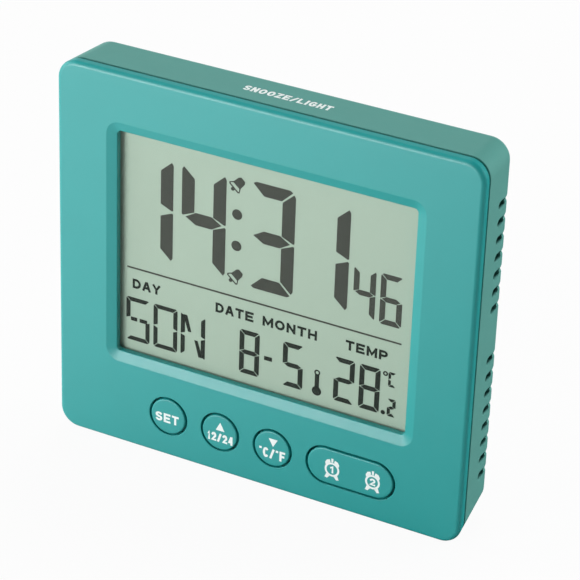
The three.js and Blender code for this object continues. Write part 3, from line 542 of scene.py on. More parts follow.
def make_rear_shell():
    outer = filleted([
        (WALL / 2, REAR_FRONT, 0), (0, REAR_FRONT, PARTING_EDGE), (0, CASE_BACK, REAR_EDGE),
        (CORNER_RADIUS, CASE_BACK, 0),
    ])
    shell = loft("rear_shell", [(case_outline(y, inset), y) for inset, y in outer])
    edge = filleted([(0, BOX_FRONT, 0), (0, BOX_BACK, BOX_EDGE), (2 * BOX_EDGE, BOX_BACK, 0)])
    join(shell, loft("box", [(box_outline(inset), y) for inset, y in edge]))
    hollow = [(case_outline(y, WALL), y) for y in (REAR_FRONT - PAST, INNER_BACK)]
    cut(shell, loft("hollow", hollow))
    half, low, high = BAY_HALF + BAY_WALL, BAY_BOTTOM - BAY_WALL, BAY_TOP + BAY_WALL
    bay = block("bay", -half, half, BAY_FRONT - BAY_WALL, INNER_BACK + BAY_WALL, low, high)
    bosses = [post("boss", x, z, WELL_BOSS_RADIUS, WELL_BOSS_FRONT, ROOT_BACK) for x, z in SCREWS]
    seat = post("seat", *BUZZER, SEAT_RADIUS, SEAT_FRONT, ROOT_BACK, ROUND_SIDES)
    join(shell, bay, *bosses, seat)
    wells = [turned("well", "y", (x, 0, z), WELL_PROFILE, MIDDLE_SIDES) for x, z in SCREWS]
    cut(shell, *make_seat_cutters(), *wells)
    cut(shell, *make_side_slots())
    cut(shell, *make_bay_cutters())
    return shell


def make_seat_cutters():
    cutters = [
        post("step", *BUZZER, DISC_RADIUS, DISC_FRONT, DISC_BACK, ROUND_SIDES),
        post("well", *BUZZER, SOUND_ROOM_RADIUS, DISC_FRONT, INNER_BACK, ROUND_SIDES),
    ]
    for x, z in [(0, 0)] + circle(SOUND_RING_RADIUS, SOUND_RING_HOLES):
        centre = (BUZZER[0] + x, 0, BUZZER[1] + z)
        cutters.append(turned("sound_hole", "y", centre, SOUND_HOLE_PROFILE, SMALL_SIDES))
    return cutters


def make_side_slots():
    cutters = []
    for number in SLOT_NUMBERS:
        z = SLOT_BOTTOM + SLOT_PITCH * number
        for side in (-1, 1):
            sections = []
            for x, half, front, back in SLOT_LEVELS:
                profile = rounded(front, back, z - half, z + half, SLOT_ROUNDNESS * half, EDGE_STEPS)
                sections.append((profile, side * x))
            cutters.append(along_x("slot", sections))
            for radius, start, end in SLOT_NOTCHES:
                line = [(side * x, y, z) for x, y in (start, end)]
                cutters.append(tube("notch", line, radius, MIDDLE_SIDES))
    return cutters


def make_bay_cutters():
    back = BOX_BACK + PAST
    half, low, high = DOOR_HALF + DOOR_GAP, DOOR_BOTTOM - DOOR_GAP, DOOR_TOP + DOOR_GAP
    cutters = [
        block("bay", -BAY_HALF, BAY_HALF, BAY_FRONT, back, BAY_BOTTOM, BAY_TOP),
        block("recess", -half, half, DOOR_FRONT - RECESS_DEPTH, back, low, high, RECESS_CORNER),
        block("latch_pocket", -NOTCH_HALF, NOTCH_HALF, POCKET_FRONT, DOOR_FRONT, BAY_TOP - PAST, POCKET_TOP),
        block("hook_slot", -NOTCH_HALF, NOTCH_HALF, HOOK_SLOT_FRONT, HOOK_SLOT_BACK, BAY_TOP, HOOK_SLOT_TOP),
    ]
    reach = DOOR_HALF + PIN_REACH + PIN_ROOM
    socket = ((HINGE_PIN + PIN_ROOM, -reach), (HINGE_PIN + PIN_ROOM, reach))
    cutters.append(turned("socket", "x", (0, HINGE_Y, HINGE_Z), socket, SMALL_SIDES))
    for z in (LOWER_CELL_Z, UPPER_CELL_Z):
        levels = (TAB_SLOT_FRONT, TAB_SLOT_BACK, z - TAB_SLOT_REACH, z + TAB_SLOT_REACH)
        cutters.append(block("tab_slot", TAB_SLOT_X, BAY_HALF, *levels))
    return cutters


# Keys

def key_profile(flange_y, behind):
    """From the flat front over the rounded edge to the back of the flange, and on through behind."""
    flange_back = flange_y + FLANGE_THICKNESS
    front = [
        (KEY_FLAT_RADIUS, KEY_FRONT, 0), (KEY_RADIUS, KEY_FRONT, KEY_EDGE),
        (KEY_RADIUS, flange_y, 0), (FLANGE_RADIUS, flange_y, FLANGE_EDGE),
        (FLANGE_RADIUS, flange_back, FLANGE_EDGE),
    ]
    return filleted(front + behind)


def make_round_key(name, x):
    flange_back = ROUND_FLANGE_Y + FLANGE_THICKNESS
    stem = [(STEM_RADIUS, flange_back, 0.3), (STEM_RADIUS, STEM_BACK, 0.2), (1, STEM_BACK, 0)]
    return loft(name, [(key_outline(x, 0, radius), y) for radius, y in key_profile(ROUND_FLANGE_Y, stem)])


def make_rocker():
    profile = key_profile(ROCKER_FLANGE_Y, [(3, ROCKER_FLANGE_Y + FLANGE_THICKNESS, 0)])
    key = loft("alarm_key", [(key_outline(ROCKER_X, ROCKER_SPAN, radius), y) for radius, y in profile])
    start = ROCKER_FLANGE_Y + FLANGE_THICKNESS / 2
    stems = [post("stem", x, KEY_Z, STEM_RADIUS, start, STEM_BACK, STEM_SIDES) for x in ROCKER_CONTACTS]
    line = [(PIVOT_RADIUS, -PIVOT_REACH), (PIVOT_RADIUS, PIVOT_REACH)]
    return join(key, *stems, turned("pin", "z", (ROCKER_X, PIVOT_Y, KEY_Z), line, SMALL_SIDES))


ROUND_KEYS = (("set_button", "set_key"), ("up_button", "up_key"), ("down_button", "down_key"))

dress(make_front_shell(), "case", "face_plastic", ["front_bezel"])
dress(make_rear_shell(), "case", "rear_plastic", ["rear_case"])
for (node, body), x in zip(ROUND_KEYS, KEY_XS):
    dress(make_round_key(node + "_cap", x), body, "face_plastic", [node])
dress(make_rocker(), "alarm_key", "face_plastic", ["alarm_rocker"])

# Battery door with its latch, cells and springs

DOOR_CORNER = 0.7
DOOR_EDGE = 0.35
DOOR_STRIP = 0.8
# The barrel stays this much short of the door's thickness
BARREL_ROOM = 0.001
# Radius and x along the thumb grooves
GROOVE_PROFILE = ((0.1, -8.9), (0.4, -8.5), (0.4, 8.5), (0.1, 8.9))
GROOVE_ZS = (22.45, 20.25, 18.05)
ARROW = ((-1.6, 13.2), (1.6, 13.2), (0, 15.8))
ARROW_DEPTH = 0.25
NOTCH_BOTTOM = 24.65
LATCH_HALF = 4.3
# A strip bent to a U, with a hook and a thumb lip, as (y, z, radius)
LATCH_PROFILE = (
    (21.36, 23.05, 0), (20.2, 23.05, 0.5), (20.2, 26.05, 0.5), (21.25, 26.05, 0.15),
    (21.25, 27.25, 0.1), (22.05, 26.65, 0.15), (22.05, 26.05, 0.1), (22.75, 26.05, 0.25),
    (22.75, 25.25, 0.25), (21.0, 25.25, 0.25), (21.0, 23.85, 0.25), (21.36, 23.85, 0),
)
CELL_Y = 15.8
CELL_RADIUS = 5.25
CELL_LENGTH = 44.5
CELL_NUB = 0.9
CELL_START = -20.5
CELL_BAND_START = 30.5
CELL_CAN_RADIUS = 4.85
CELL_END_RADIUS = 4.3
NUB_RADIUS = 1.9
SLEEVE_MARGIN = 0.12
BAND_MARGIN = 0.1
# The signs' half size and stroke, how deep they sink in, and how thick they are
SIGN_HALF = 1.6
SIGN_STROKE = 0.7
SIGN_SUNK = 0.01
SIGN_THICKNESS = 0.07
SPRING_WIRE = 0.3
SPRING_TURNS = 3
# x and radius of a spring's two ends
SPRING_BASE = (23.95, 3.2)
SPRING_TIP = (20.85, 2.2)
TURN_STEPS = 20


def make_door():
    def outline(inset):
        half, top = DOOR_HALF - inset, DOOR_TOP - inset
        corners = [(half, top, DOOR_CORNER), (-half, top, DOOR_CORNER)]
        return filleted([(half, HINGE_Z, 0), *corners, (-half, HINGE_Z, 0)])

    edge = filleted([(0, DOOR_FRONT, 0), (0, BOX_BACK, DOOR_EDGE), (DOOR_STRIP, BOX_BACK, 0)])
    door = loft("door_panel", [(outline(inset), y) for inset, y in edge])
    hinge = (0, HINGE_Y, HINGE_Z)
    radius = (BOX_BACK - DOOR_FRONT) / 2 - BARREL_ROOM
    barrel = turned("barrel", "x", hinge, [(radius, -DOOR_HALF), (radius, DOOR_HALF)])
    reach = DOOR_HALF + PIN_REACH
    pins = turned("pins", "x", hinge, [(HINGE_PIN, -reach), (HINGE_PIN, reach)], SMALL_SIDES)
    door = join(door, barrel, pins)
    front, back = DOOR_FRONT - PAST, BOX_BACK + PAST
    cutters = [block("notch", -NOTCH_HALF, NOTCH_HALF, front, back, NOTCH_BOTTOM, DOOR_TOP + PAST)]
    for z in GROOVE_ZS:
        cutters.append(turned("groove", "x", (0, BOX_BACK, z), GROOVE_PROFILE, SMALL_SIDES))
    cutters.append(loft("arrow", [(ARROW, BOX_BACK - ARROW_DEPTH), (ARROW, back)]))
    return cut(door, *cutters)


def make_latch():
    profile = filleted(LATCH_PROFILE)
    return along_x("latch", [(profile, x) for x in (-LATCH_HALF, LATCH_HALF)])


def make_cell(node, z, side):
    """side is +1 where the raised end is at +x. Profiles are (radius, x, round)."""
    body_length = CELL_LENGTH - CELL_NUB
    band_end = body_length - BAND_MARGIN
    can = filleted([
        (2.0, 0, 0), (CELL_CAN_RADIUS, 0, 0.25), (CELL_CAN_RADIUS, body_length, 0.25),
        (NUB_RADIUS, body_length, 0.2), (NUB_RADIUS, CELL_LENGTH, 0.25), (0.6, CELL_LENGTH, 0),
    ])
    sleeve = filleted([
        (CELL_END_RADIUS, SLEEVE_MARGIN, 0), (CELL_RADIUS, SLEEVE_MARGIN, 0.3),
        (CELL_RADIUS, CELL_BAND_START, 0),
    ])
    band = filleted(
        [(CELL_RADIUS, CELL_BAND_START, 0), (CELL_RADIUS, band_end, 0.3), (CELL_END_RADIUS, band_end, 0)]
    )
    parts = (("can", can, "steel"), ("sleeve", sleeve, "cell_sleeve"), ("band", band, "cell_band"))
    for part, profile, look in parts:
        line = [(radius, side * (CELL_START + along)) for radius, along in profile]
        obj = turned(node + "_" + part, "x", (0, CELL_Y, z), line)
        dress(obj, "case", look, [node] if part == "can" else (), "cell_can")

    def lay(x, along_round, raised):
        radius = CELL_RADIUS - SIGN_SUNK + SIGN_THICKNESS * raised
        angle = along_round / CELL_RADIUS
        return at(x, CELL_Y + radius * math.cos(angle), z + radius * math.sin(angle))

    for part, sign, along, look in (("plus", "+", 37.5, "cell_sleeve"), ("minus", "-", 5.0, "cell_band")):
        x = side * (CELL_START + along)
        box = (x - SIGN_HALF, x + SIGN_HALF, -SIGN_HALF, 2 * SIGN_HALF)
        lettering(node + "_" + part, sign, *box, SIGN_STROKE, lay, "case", look)


def spring_points(side, z):
    points = []
    steps = SPRING_TURNS * TURN_STEPS
    for i in range(steps + 1):
        share = i / steps
        angle = 2 * math.pi * i / TURN_STEPS
        x, radius = [start + (end - start) * share for start, end in zip(SPRING_BASE, SPRING_TIP)]
        points.append((side * x, CELL_Y + radius * math.cos(angle), z + radius * math.sin(angle)))
    return points


dress(make_door(), "door", "rear_plastic", ["battery_door"])
dress(make_latch(), "door", "rear_plastic", ["battery_latch"])
for node, side, z in (("lower_spring", -1, LOWER_CELL_Z), ("upper_spring", 1, UPPER_CELL_Z)):
    wire = tube(node + "_wire", spring_points(side, z), SPRING_WIRE)
    dress(wire, "case", "steel", [node])

# Rubber keypad, connector strip, buzzer leads and screws

KEYPAD_BACK = 7.35
KEYPAD_FRONT = 6.4
KEYPAD_RIM = 0.4
# Left, right, bottom, top and corner radius
KEYPAD_EDGES = (-26, 33.5, 4.45, 15.25, 1.5)
DOME_TOP = 5.1
DOME_RADIUS = 4.0
SKIRT_TOP = 5.5
SKIRT_FOOT = 6.45
PLATE_RADIUS = 2.85
DOME_BOSS_RADIUS = 1.8
# Name, body, place along x, and where the boss ends
DOMES = (
    ("set_dome", "set_key", KEY_XS[0], 6.35),
    ("up_dome", "up_key", KEY_XS[1], 6.35),
    ("down_dome", "down_key", KEY_XS[2], 6.35),
    ("alarm_1_dome", "alarm_key", ROCKER_CONTACTS[0], 6.775),
    ("alarm_2_dome", "alarm_key", ROCKER_CONTACTS[1], 6.775),
)
ZEBRA_LAYERS = 120
ZEBRA_STEP = 0.03
LEAD_RADIUS = 0.3
LEAD_STEPS = 12
LEAD_END_X = 11.6
LEAD_END_Y = 8.65
# How far a lead bulges at its start and at its end
LEAD_BULGES = (0.6, 1.2)
LEADS = (("red", "red_sleeve", (20.4, 11.85, 56), 58), ("black", "black_resin", (15.4, 12.05, 53), 50))
THREAD_CORE = 0.72
THREAD_RADIUS = 0.95
THREAD_PITCH = 0.4
THREAD_TURNS = 14
THREAD_START = 0.5
SCREW_TIP_RADIUS = 0.25
HEAD_RADIUS = 2.0
HEAD_HEIGHT = 1.3
CROSS_REACH = 1.15
CROSS_HALF = 0.24
CROSS_DEPTH = 0.75


def make_keypad():
    """The sheet, with a hole for each dome."""

    def outline(inset):
        left, right, bottom, top, corner = KEYPAD_EDGES
        edges = (left + inset, right - inset, bottom + inset, top - inset)
        return rounded(*edges, corner - inset, EDGE_STEPS)

    edge = filleted([
        (KEYPAD_RIM, KEYPAD_FRONT, 0), (0, KEYPAD_FRONT, 0.2), (0, KEYPAD_BACK, 0.1),
        (KEYPAD_RIM, KEYPAD_BACK, 0),
    ])
    pad = loft("keypad", [(outline(inset), y) for inset, y in edge])
    front, back = KEYPAD_FRONT - PAST, KEYPAD_BACK + PAST
    holes = [post("hole", x, KEY_Z, DOME_RADIUS, front, back, ROUND_SIDES) for _, _, x, _ in DOMES]
    return cut(pad, *holes)


def make_dome(name, body, x, boss_back):
    """A plate with its boss, which go with the key, on a thin skirt."""
    centre = (x, 0, KEY_Z)
    plate = filleted([
        (1.0, DOME_TOP, 0), (PLATE_RADIUS, DOME_TOP, 0.15), (PLATE_RADIUS, SKIRT_TOP, 0),
        (DOME_BOSS_RADIUS, SKIRT_TOP, 0), (DOME_BOSS_RADIUS, boss_back, 0.1),
        (0.8, boss_back, 0),
    ])
    boss = turned(name + "_boss", "y", centre, plate, STEM_SIDES)
    dress(boss, body, "keypad_rubber")
    skirt = (
        (2.4, SKIRT_TOP), (2.8, SKIRT_TOP), (3.3, 5.95), (DOME_RADIUS, SKIRT_FOOT),
        (DOME_RADIUS, KEYPAD_BACK), (3.4, KEYPAD_BACK), (3.4, 6.75), (2.9, 6.1),
    )
    obj = turned(name + "_skirt", "y", centre, skirt, STEM_SIDES, closed=True)
    dress(obj, None, "keypad_rubber")
    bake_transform(obj)


def make_zebra():
    """A soft strip of thin layers."""
    low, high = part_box("zebra_strip")
    sections = []
    for i in range(ZEBRA_LAYERS + 1):
        x = low.x + (high.x - low.x) * i / ZEBRA_LAYERS
        inset = ZEBRA_STEP * MM * (i % 2)
        y0, y1, z0, z1 = low.y + inset, high.y - inset, low.z + inset, high.z - inset
        sections.append([Vector((x, y, z)) for y, z in ((y0, z0), (y1, z0), (y1, z1), (y0, z1))])
    return skin("zebra_layers", sections)


def smooth_line(points):
    """A curve through points."""
    spots = [Vector(point) for point in points]
    spots = [2 * spots[0] - spots[1]] + spots + [2 * spots[-1] - spots[-2]]
    line = []
    for a, b, c, d in zip(spots, spots[1:], spots[2:], spots[3:]):
        bend = 2 * a - 5 * b + 4 * c - d
        twist = 3 * b - a - 3 * c + d
        for step in range(LEAD_STEPS):
            t = step / LEAD_STEPS
            line.append(0.5 * (2 * b + (c - a) * t + bend * t**2 + twist * t**3))
    return line + [spots[-2]]


def make_lead(name, start, end_z):
    x, y, z = start
    middle = (y + LEAD_END_Y) / 2
    points = [
        start,
        (x - LEAD_BULGES[0], middle, z),
        (LEAD_END_X + LEAD_BULGES[1], middle, end_z),
        (LEAD_END_X, LEAD_END_Y, end_z),
    ]
    return tube(name, smooth_line(points), LEAD_RADIUS)


def make_screw(node):
    low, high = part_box(node)
    x, z = (low.x + high.x) / 2 / MM, (low.z + high.z) / 2 / MM
    tip, top = (low.y - FACE_Y) / MM, (high.y - FACE_Y) / MM
    seat = top - HEAD_HEIGHT
    profile = [(SCREW_TIP_RADIUS, tip), (THREAD_CORE, tip + THREAD_START)]
    for i in range(THREAD_TURNS):
        start = tip + THREAD_START + THREAD_PITCH * i
        profile += [(THREAD_RADIUS, start + 0.14), (THREAD_RADIUS, start + 0.2), (THREAD_CORE, start + 0.34)]
    profile += filleted([
        (THREAD_RADIUS, seat - 0.5, 0), (THREAD_RADIUS, seat, 0), (HEAD_RADIUS, seat, 0.1),
        (HEAD_RADIUS, top - 0.1, 0.55), (0.5, top, 0),
    ])
    screw = turned(node + "_metal", "y", (x, 0, z), profile, MIDDLE_SIDES)
    front, back = top - CROSS_DEPTH, top + PAST
    cross = []
    for wide, tall in ((CROSS_REACH, CROSS_HALF), (CROSS_HALF, CROSS_REACH)):
        cross.append(block("cross", x - wide, x + wide, front, back, z - tall, z + tall))
    return cut(screw, *cross)


dress(make_keypad(), "case", "keypad_rubber", ["rubber_keypad"])
for dome in DOMES:
    make_dome(*dome)
dress(make_zebra(), "case", "zebra_rubber", ["zebra_strip"])
for colour, look, start, end_z in LEADS:
    lead = make_lead(colour + "_lead", start, end_z)
    dress(lead, "case", look, ["buzzer_lead_" + colour])
for number in range(1, 5):
    node = "case_screw_" + str(number)
    dress(make_screw(node), "case", "steel", [node])

# Display figures and prints: flat shapes of (x, z) points, a little proud of what they lie on

INK_Y = 2.765
INK = 0.02
SEGMENTS = {
    "1": "bc", "2": "abged", "3": "abgcd", "4": "fgbc", "5": "afgcd", "6": "afgedc", "8": "abcdefg",
    "O": "abcdef", "C": "afed", "S": "afcd", "N": "efbc",
}


def strip(x0, x1, z0, z1):
    return [(x0, z0), (x1, z0), (x1, z1), (x0, z1)]


def segment_shapes(figure, left, right, top, bottom, stroke):
    """The shapes of a seven-segment figure in its box. S has a middle of two strips, and N has two slants."""
    middle = (top + bottom) / 2
    width = right - left

    def mirrored(points, across, up):
        return [(left + right - x if across else x, 2 * middle - z if up else z) for x, z in points]

    def corners(*spots):
        """Each spot is an edge and how many strokes it lies from there, across and then up."""
        return [(x + a * stroke, z + b * stroke) for x, a, z, b in spots]

    bar = corners(
        (left, 0.22, top, -0.14), (left, 0.45, top, 0), (right, -0.45, top, 0),
        (right, -0.22, top, -0.14), (right, -1.07, top, -0.97), (left, 1.07, top, -0.97),
    )
    upright = corners(
        (right, -0.14, top, -0.28), (right, 0, top, -0.5), (right, 0, middle, 0.14),
        (right, -0.1, middle, 0.08), (right, -1, middle, 0.47), (right, -1, top, -1.06),
    )
    crossbar = corners(
        (left, 0.3, middle, 0), (left, 1.12, middle, 0.48), (right, -1.12, middle, 0.48),
        (right, -0.33, middle, 0), (right, -1.12, middle, -0.48), (left, 1.12, middle, -0.48),
    )
    shapes = {
        "a": bar, "b": upright, "c": mirrored(upright, False, True),
        "d": mirrored(bar, False, True), "e": mirrored(upright, True, True),
        "f": mirrored(upright, True, False), "g": crossbar,
    }
    found = [shapes[letter] for letter in SEGMENTS[figure]]
    half = 0.45 * stroke
    if figure == "S":
        for start, end in ((1.1 * stroke, 0.47 * width), (0.57 * width, width - 0.6 * stroke)):
            found.append(strip(left + start, left + end, middle + half, middle - half))
    if figure == "N":
        slant = corners(
            (left, 0.5, top, -0.5), (left, 1.5, top, -0.5),
            (left + 0.44 * width, 0, middle, 0.8), (left + 0.3 * width, 0, middle, 0.8),
        )
        found.append(slant)
        found.append(mirrored(slant, True, True))
    return found


def disc(x, z, radius, sides=SMALL_SIDES):
    return [(x + a, z + b) for a, b in circle(radius, sides)]


def flat_piece(name, shapes, bands, y, body, look):
    """Of plates, and of bands that each lie between two outlines of equally many points."""
    bm = bmesh.new()
    for shape in shapes:
        add_skin(bm, [[at(x, level, z) for x, z in shape] for level in (y, y + INK)])
    for outer, inner in bands:
        levels = ((outer, y), (outer, y + INK), (inner, y + INK), (inner, y))
        add_skin(bm, [[at(x, level, z) for x, z in outline] for outline, level in levels], closed=True)
    dress(add_solid(name, bm), body, look)


def make_display():
    big_top, big_bottom, big_width, big_stroke = 68.94, 44.75, 10.25, 2.94
    shapes = []
    for figure, right in (("1", -21.62), ("4", -9.37), ("3", 6.31), ("1", 18.56)):
        shapes += segment_shapes(figure, right - big_width, right, big_top, big_bottom, big_stroke)
    shapes += [disc(-6.81, z, 1.16, MIDDLE_SIDES) for z in (60.44, 53.3)]
    small_top, small_bottom, small_width, small_stroke = 56.31, 44.87, 4.9, 1.25
    for figure, left in (("4", 19.81), ("6", 25.75)):
        shapes += segment_shapes(figure, left, left + small_width, small_top, small_bottom, small_stroke)
    shapes.append(strip(-32.4, 31.0, 41.67, 41.27))
    flat_piece("display_time", shapes, [], INK_Y, "case", "display_ink")

    row_top, row_bottom, row_width = 34.44, 24.12, 4.68
    day_stroke, row_stroke = 1.0, 1.12
    shapes = []
    for figure, left, right in (("S", -32.6, -26.94), ("O", -26.0, -20.25), ("N", -19.44, -13.62)):
        shapes += segment_shapes(figure, left, right, row_top, row_bottom, day_stroke)
    for figure, left in (("8", -5.5), ("5", 4.62), ("2", 16.37), ("8", 22.12)):
        shapes += segment_shapes(figure, left, left + row_width, row_top, row_bottom, row_stroke)
    shapes.append(strip(0.3, 2.15, 29.66, 28.7))
    shapes.append(disc(27.75, 24.66, 0.5))
    shapes += segment_shapes("C", 28.56, 30.25, row_top, 31.0, 0.58)
    shapes += segment_shapes("2", 28.6, 30.5, 28.25, row_bottom, 0.72)
    degree_x, degree_z = 27.87, 33.8
    degree = (disc(degree_x, degree_z, 0.56), disc(degree_x, degree_z, 0.24))
    bulb_x, tube_half, tip_z = 12.62, 0.5, 29.35
    shapes.append(disc(bulb_x, 25.0, 1.08, MIDDLE_SIDES))
    shapes.append(strip(bulb_x - tube_half, bulb_x + tube_half, 25.9, 28.8))
    tip = (disc(bulb_x, tip_z, 0.68), disc(bulb_x, tip_z, 0.36))
    flat_piece("display_row", shapes, [degree, tip], INK_Y, "case", "fine_ink")


# Two ringing bells on the display, mouths down to the left, as points of (along, across)
BELL_X = -6.8
BELL_ZS = (67.25, 46.35)
BELL_TILT = math.radians(48)
BELL_DOME = ((1.75, -0.6), (1.75, 0.6), (1.2, 0.95), (-0.35, 1.05), (-0.35, -1.05), (1.2, -0.95))
BELL_MOUTH = (
    ((-0.3, 1.1), (-1.15, 1.6), (-1.5, 1.3), (-1.5, -1.3), (-1.15, -1.6), (-0.3, -1.1)),
    ((-0.5, 0.9), (-1.05, 1.3), (-1.2, 1.1), (-1.2, -1.1), (-1.05, -1.3), (-0.5, -0.9)),
)
CLAPPER_ALONG = -1.75
CLAPPER_RADIUS = 0.42


def bell_spots(z, points):
    along = Vector((math.cos(BELL_TILT), math.sin(BELL_TILT)))
    across = Vector((-math.sin(BELL_TILT), math.cos(BELL_TILT)))
    return [tuple(Vector((BELL_X, z)) + along * up + across * side) for up, side in points]


def make_bells():
    shapes, bands = [], []
    for z in BELL_ZS:
        shapes.append(bell_spots(z, BELL_DOME))
        bands.append([bell_spots(z, outline) for outline in BELL_MOUTH])
        clapper = bell_spots(z, [(CLAPPER_ALONG, 0)])[0]
        shapes.append(disc(*clapper, CLAPPER_RADIUS))
    flat_piece("display_bells", shapes, bands, INK_Y, "case", "display_ink")


# Letters and signs, as the middle lines of their strokes in a box from (0, 0) to (1, 1)

def arc(x, z, reach_x, reach_z, start, end, steps=10):
    angles = [math.radians(start + (end - start) * step / steps) for step in range(steps + 1)]
    return [(x + reach_x * math.cos(angle), z + reach_z * math.sin(angle)) for angle in angles]


# A stroke runs round or is open. An open one is made longer by half its width at both ends, at its start only
# or at neither.
CLOSED, OPEN, START, INNER = "closed", "open", "start", "inner"
LEFT_POST = (OPEN, [(0, 0), (0, 1)])
RIGHT_POST = (OPEN, [(1, 0), (1, 1)])
LETTERS = {
    "A": [(OPEN, [(0, 0), (0.42, 1), (0.58, 1), (1, 0)]), (INNER, [(0.2, 0.3), (0.8, 0.3)])],
    "C": [(OPEN, arc(0.55, 0.5, 0.55, 0.5, 58, 302, 16))],
    "D": [(CLOSED, [(0, 0), (0, 1)] + arc(0.4, 0.5, 0.6, 0.5, 90, -90, 12))],
    "E": [(OPEN, [(1, 1), (0, 1), (0, 0), (1, 0)]), (START, [(0.85, 0.5), (0.05, 0.5)])],
    "F": [(OPEN, [(1, 1), (0, 1), (0, 0)]), (START, [(0.8, 0.5), (0.05, 0.5)])],
    "G": [(OPEN, arc(0.52, 0.5, 0.52, 0.5, 58, 335, 16) + [(1.02, 0.46), (0.75, 0.46)])],
    "H": [LEFT_POST, RIGHT_POST, (INNER, [(0.05, 0.5), (0.95, 0.5)])],
    "I": [(OPEN, [(0.5, 0), (0.5, 1)])],
    "L": [(OPEN, [(0, 1), (0, 0), (1, 0)])],
    "M": [LEFT_POST, RIGHT_POST, (INNER, [(0, 1), (0.5, 0.2), (1, 1)])],
    "N": [LEFT_POST, RIGHT_POST, (INNER, [(0, 1), (1, 0)])],
    "O": [(CLOSED, arc(0.5, 0.5, 0.5, 0.5, 0, 345, 23))],
    "P": [LEFT_POST, (INNER, [(0, 1)] + arc(0.6, 0.72, 0.4, 0.28, 90, -90, 8) + [(0, 0.44)])],
    "S": [(OPEN, arc(0.5, 0.74, 0.5, 0.26, 40, 210, 10) + arc(0.5, 0.26, 0.5, 0.26, 35, -145, 10))],
    "T": [(OPEN, [(0, 1), (1, 1)]), (START, [(0.5, 0), (0.5, 0.95)])],
    "Y": [(OPEN, [(0.05, 1), (0.5, 0.45), (0.95, 1)]), (START, [(0.5, 0), (0.5, 0.42)])],
    "Z": [(OPEN, [(0, 1), (1, 1)]), (OPEN, [(0, 0), (1, 0)]), (INNER, [(1, 1), (0, 0)])],
    "1": [(OPEN, [(0.25, 0.82), (0.65, 1), (0.65, 0)])],
    "2": [(OPEN, arc(0.5, 0.7, 0.5, 0.3, 155, -35, 10) + [(0, 0), (1, 0)])],
    "4": [(OPEN, [(0.78, 0), (0.78, 1)]), (INNER, [(0.7, 1.1), (0, 0.3), (1.2, 0.3)])],
    "/": [(OPEN, [(0, 0), (1, 1)])],
    "°": [(OPEN, [(0.3, 0.96), (0.7, 0.96)])],
    "+": [(OPEN, [(0, 0.5), (1, 0.5)]), (OPEN, [(0.5, step / 8) for step in range(9)])],
    "-": [(OPEN, [(0, 0.5), (1, 0.5)])],
}
LETTER_WIDTHS = {"I": 0.36, "M": 1.2, "1": 0.62, "/": 0.85, "°": 0.5, "O": 1.1, "G": 1.08}
LETTER_GAP = 0.2
STROKE_STEP = 0.2
LEAST_ROOM = 0.01
LEAST_COSINE = 0.1
MOST_MITRE = 1.5


def add_stroke(bm, points, width, closed, lay, top):
    """A flat band along points, with mitred corners. lay(a, b, side) places its two faces, side 0 and top."""
    count = len(points)
    rings = []
    for i, (a, b) in enumerate(points):
        here = Vector((a, b))
        before = here - Vector(points[i - 1]) if closed or i > 0 else Vector(points[i + 1]) - here
        after = Vector(points[(i + 1) % count]) - here if closed or i + 1 < count else before
        before, after = before.normalized(), after.normalized()
        along = (before + after).normalized()
        mitre = min(1 / max(along.dot(after), LEAST_COSINE), MOST_MITRE)
        across = Vector((-along.y, along.x)) * mitre * width / 2
        left, right = here + across, here - across
        corners = ((left, 0), (left, top), (right, top), (right, 0))
        rings.append([lay(spot.x, spot.y, side) for spot, side in corners])
    add_skin(bm, rings, closed)


def lengthened(start, end, length):
    """end, moved on by length."""
    line = Vector(end) - Vector(start)
    return tuple(Vector(end) + line.normalized() * length)


def lettering(name, text, left, right, bottom, height, width, lay, body, look):
    """A line of letters from left to right. width is that of a stroke."""
    half = width / 2
    widths = [LETTER_WIDTHS.get(letter, 1) for letter in text]
    scale = (right - left) / (sum(widths) + LETTER_GAP * (len(text) - 1))
    bm = bmesh.new()
    for letter, share in zip(text, widths):
        room = max(share * scale - width, LEAST_ROOM)
        for number, (kind, line) in enumerate(LETTERS[letter]):
            points = [(left + half + u * room, bottom + half + v * (height - width)) for u, v in line]
            if kind in (OPEN, START):
                points[0] = lengthened(points[1], points[0], half)
            if kind == OPEN:
                points[-1] = lengthened(points[-2], points[-1], half)
            add_stroke(bm, points, width, kind == CLOSED, lay, 1 + STROKE_STEP * number)
        left += (share + LETTER_GAP) * scale
    dress(add_solid(name, bm), body, look)


def facing(y):
    """Lays shapes flat, facing front."""
    return lambda x, z, side: at(x, y - INK * side, z)


# Text, left and right; all have the same bottom, height and stroke
LABELS = (("DAY", -31.1, -24.4), ("DATE", -11.3, -2.4), ("MONTH", -0.3, 12.2), ("TEMP", 18.7, 28.15))
LABEL_BOX = (36.7, 2.25, 0.54)
# Name, text, left, right, bottom, height, stroke and body
KEY_PRINTS = (
    ("print_set", "SET", -23.6, -18.0, 8.3, 2.2, 0.5, "set_key"),
    ("print_12_24", "12/24", -11.0, -4.85, 7.55, 2.1, 0.5, "up_key"),
    ("print_degrees", "°C/°F", 1.3, 7.45, 7.45, 2.4, 0.52, "down_key"),
)
KEY_TRIANGLES = (
    ("print_up", ((-9.05, 10.35), (-6.95, 10.35), (-8.0, 12.35)), "up_key"),
    ("print_down", ((3.5, 12.3), (4.55, 10.4), (5.6, 12.3)), "down_key"),
)
ALARM_PRINTS = (("1", 18.35), ("2", 27.65))
ALARM_PRINT_Z = 9.35
TOP_PRINT_BOX = (-8.6, 10.9, 6.7, 2.3, 0.5)
# How deep a print sinks into what it lies on
PRINT_SUNK = 0.005
KEY_PRINT_Y = KEY_FRONT + PRINT_SUNK


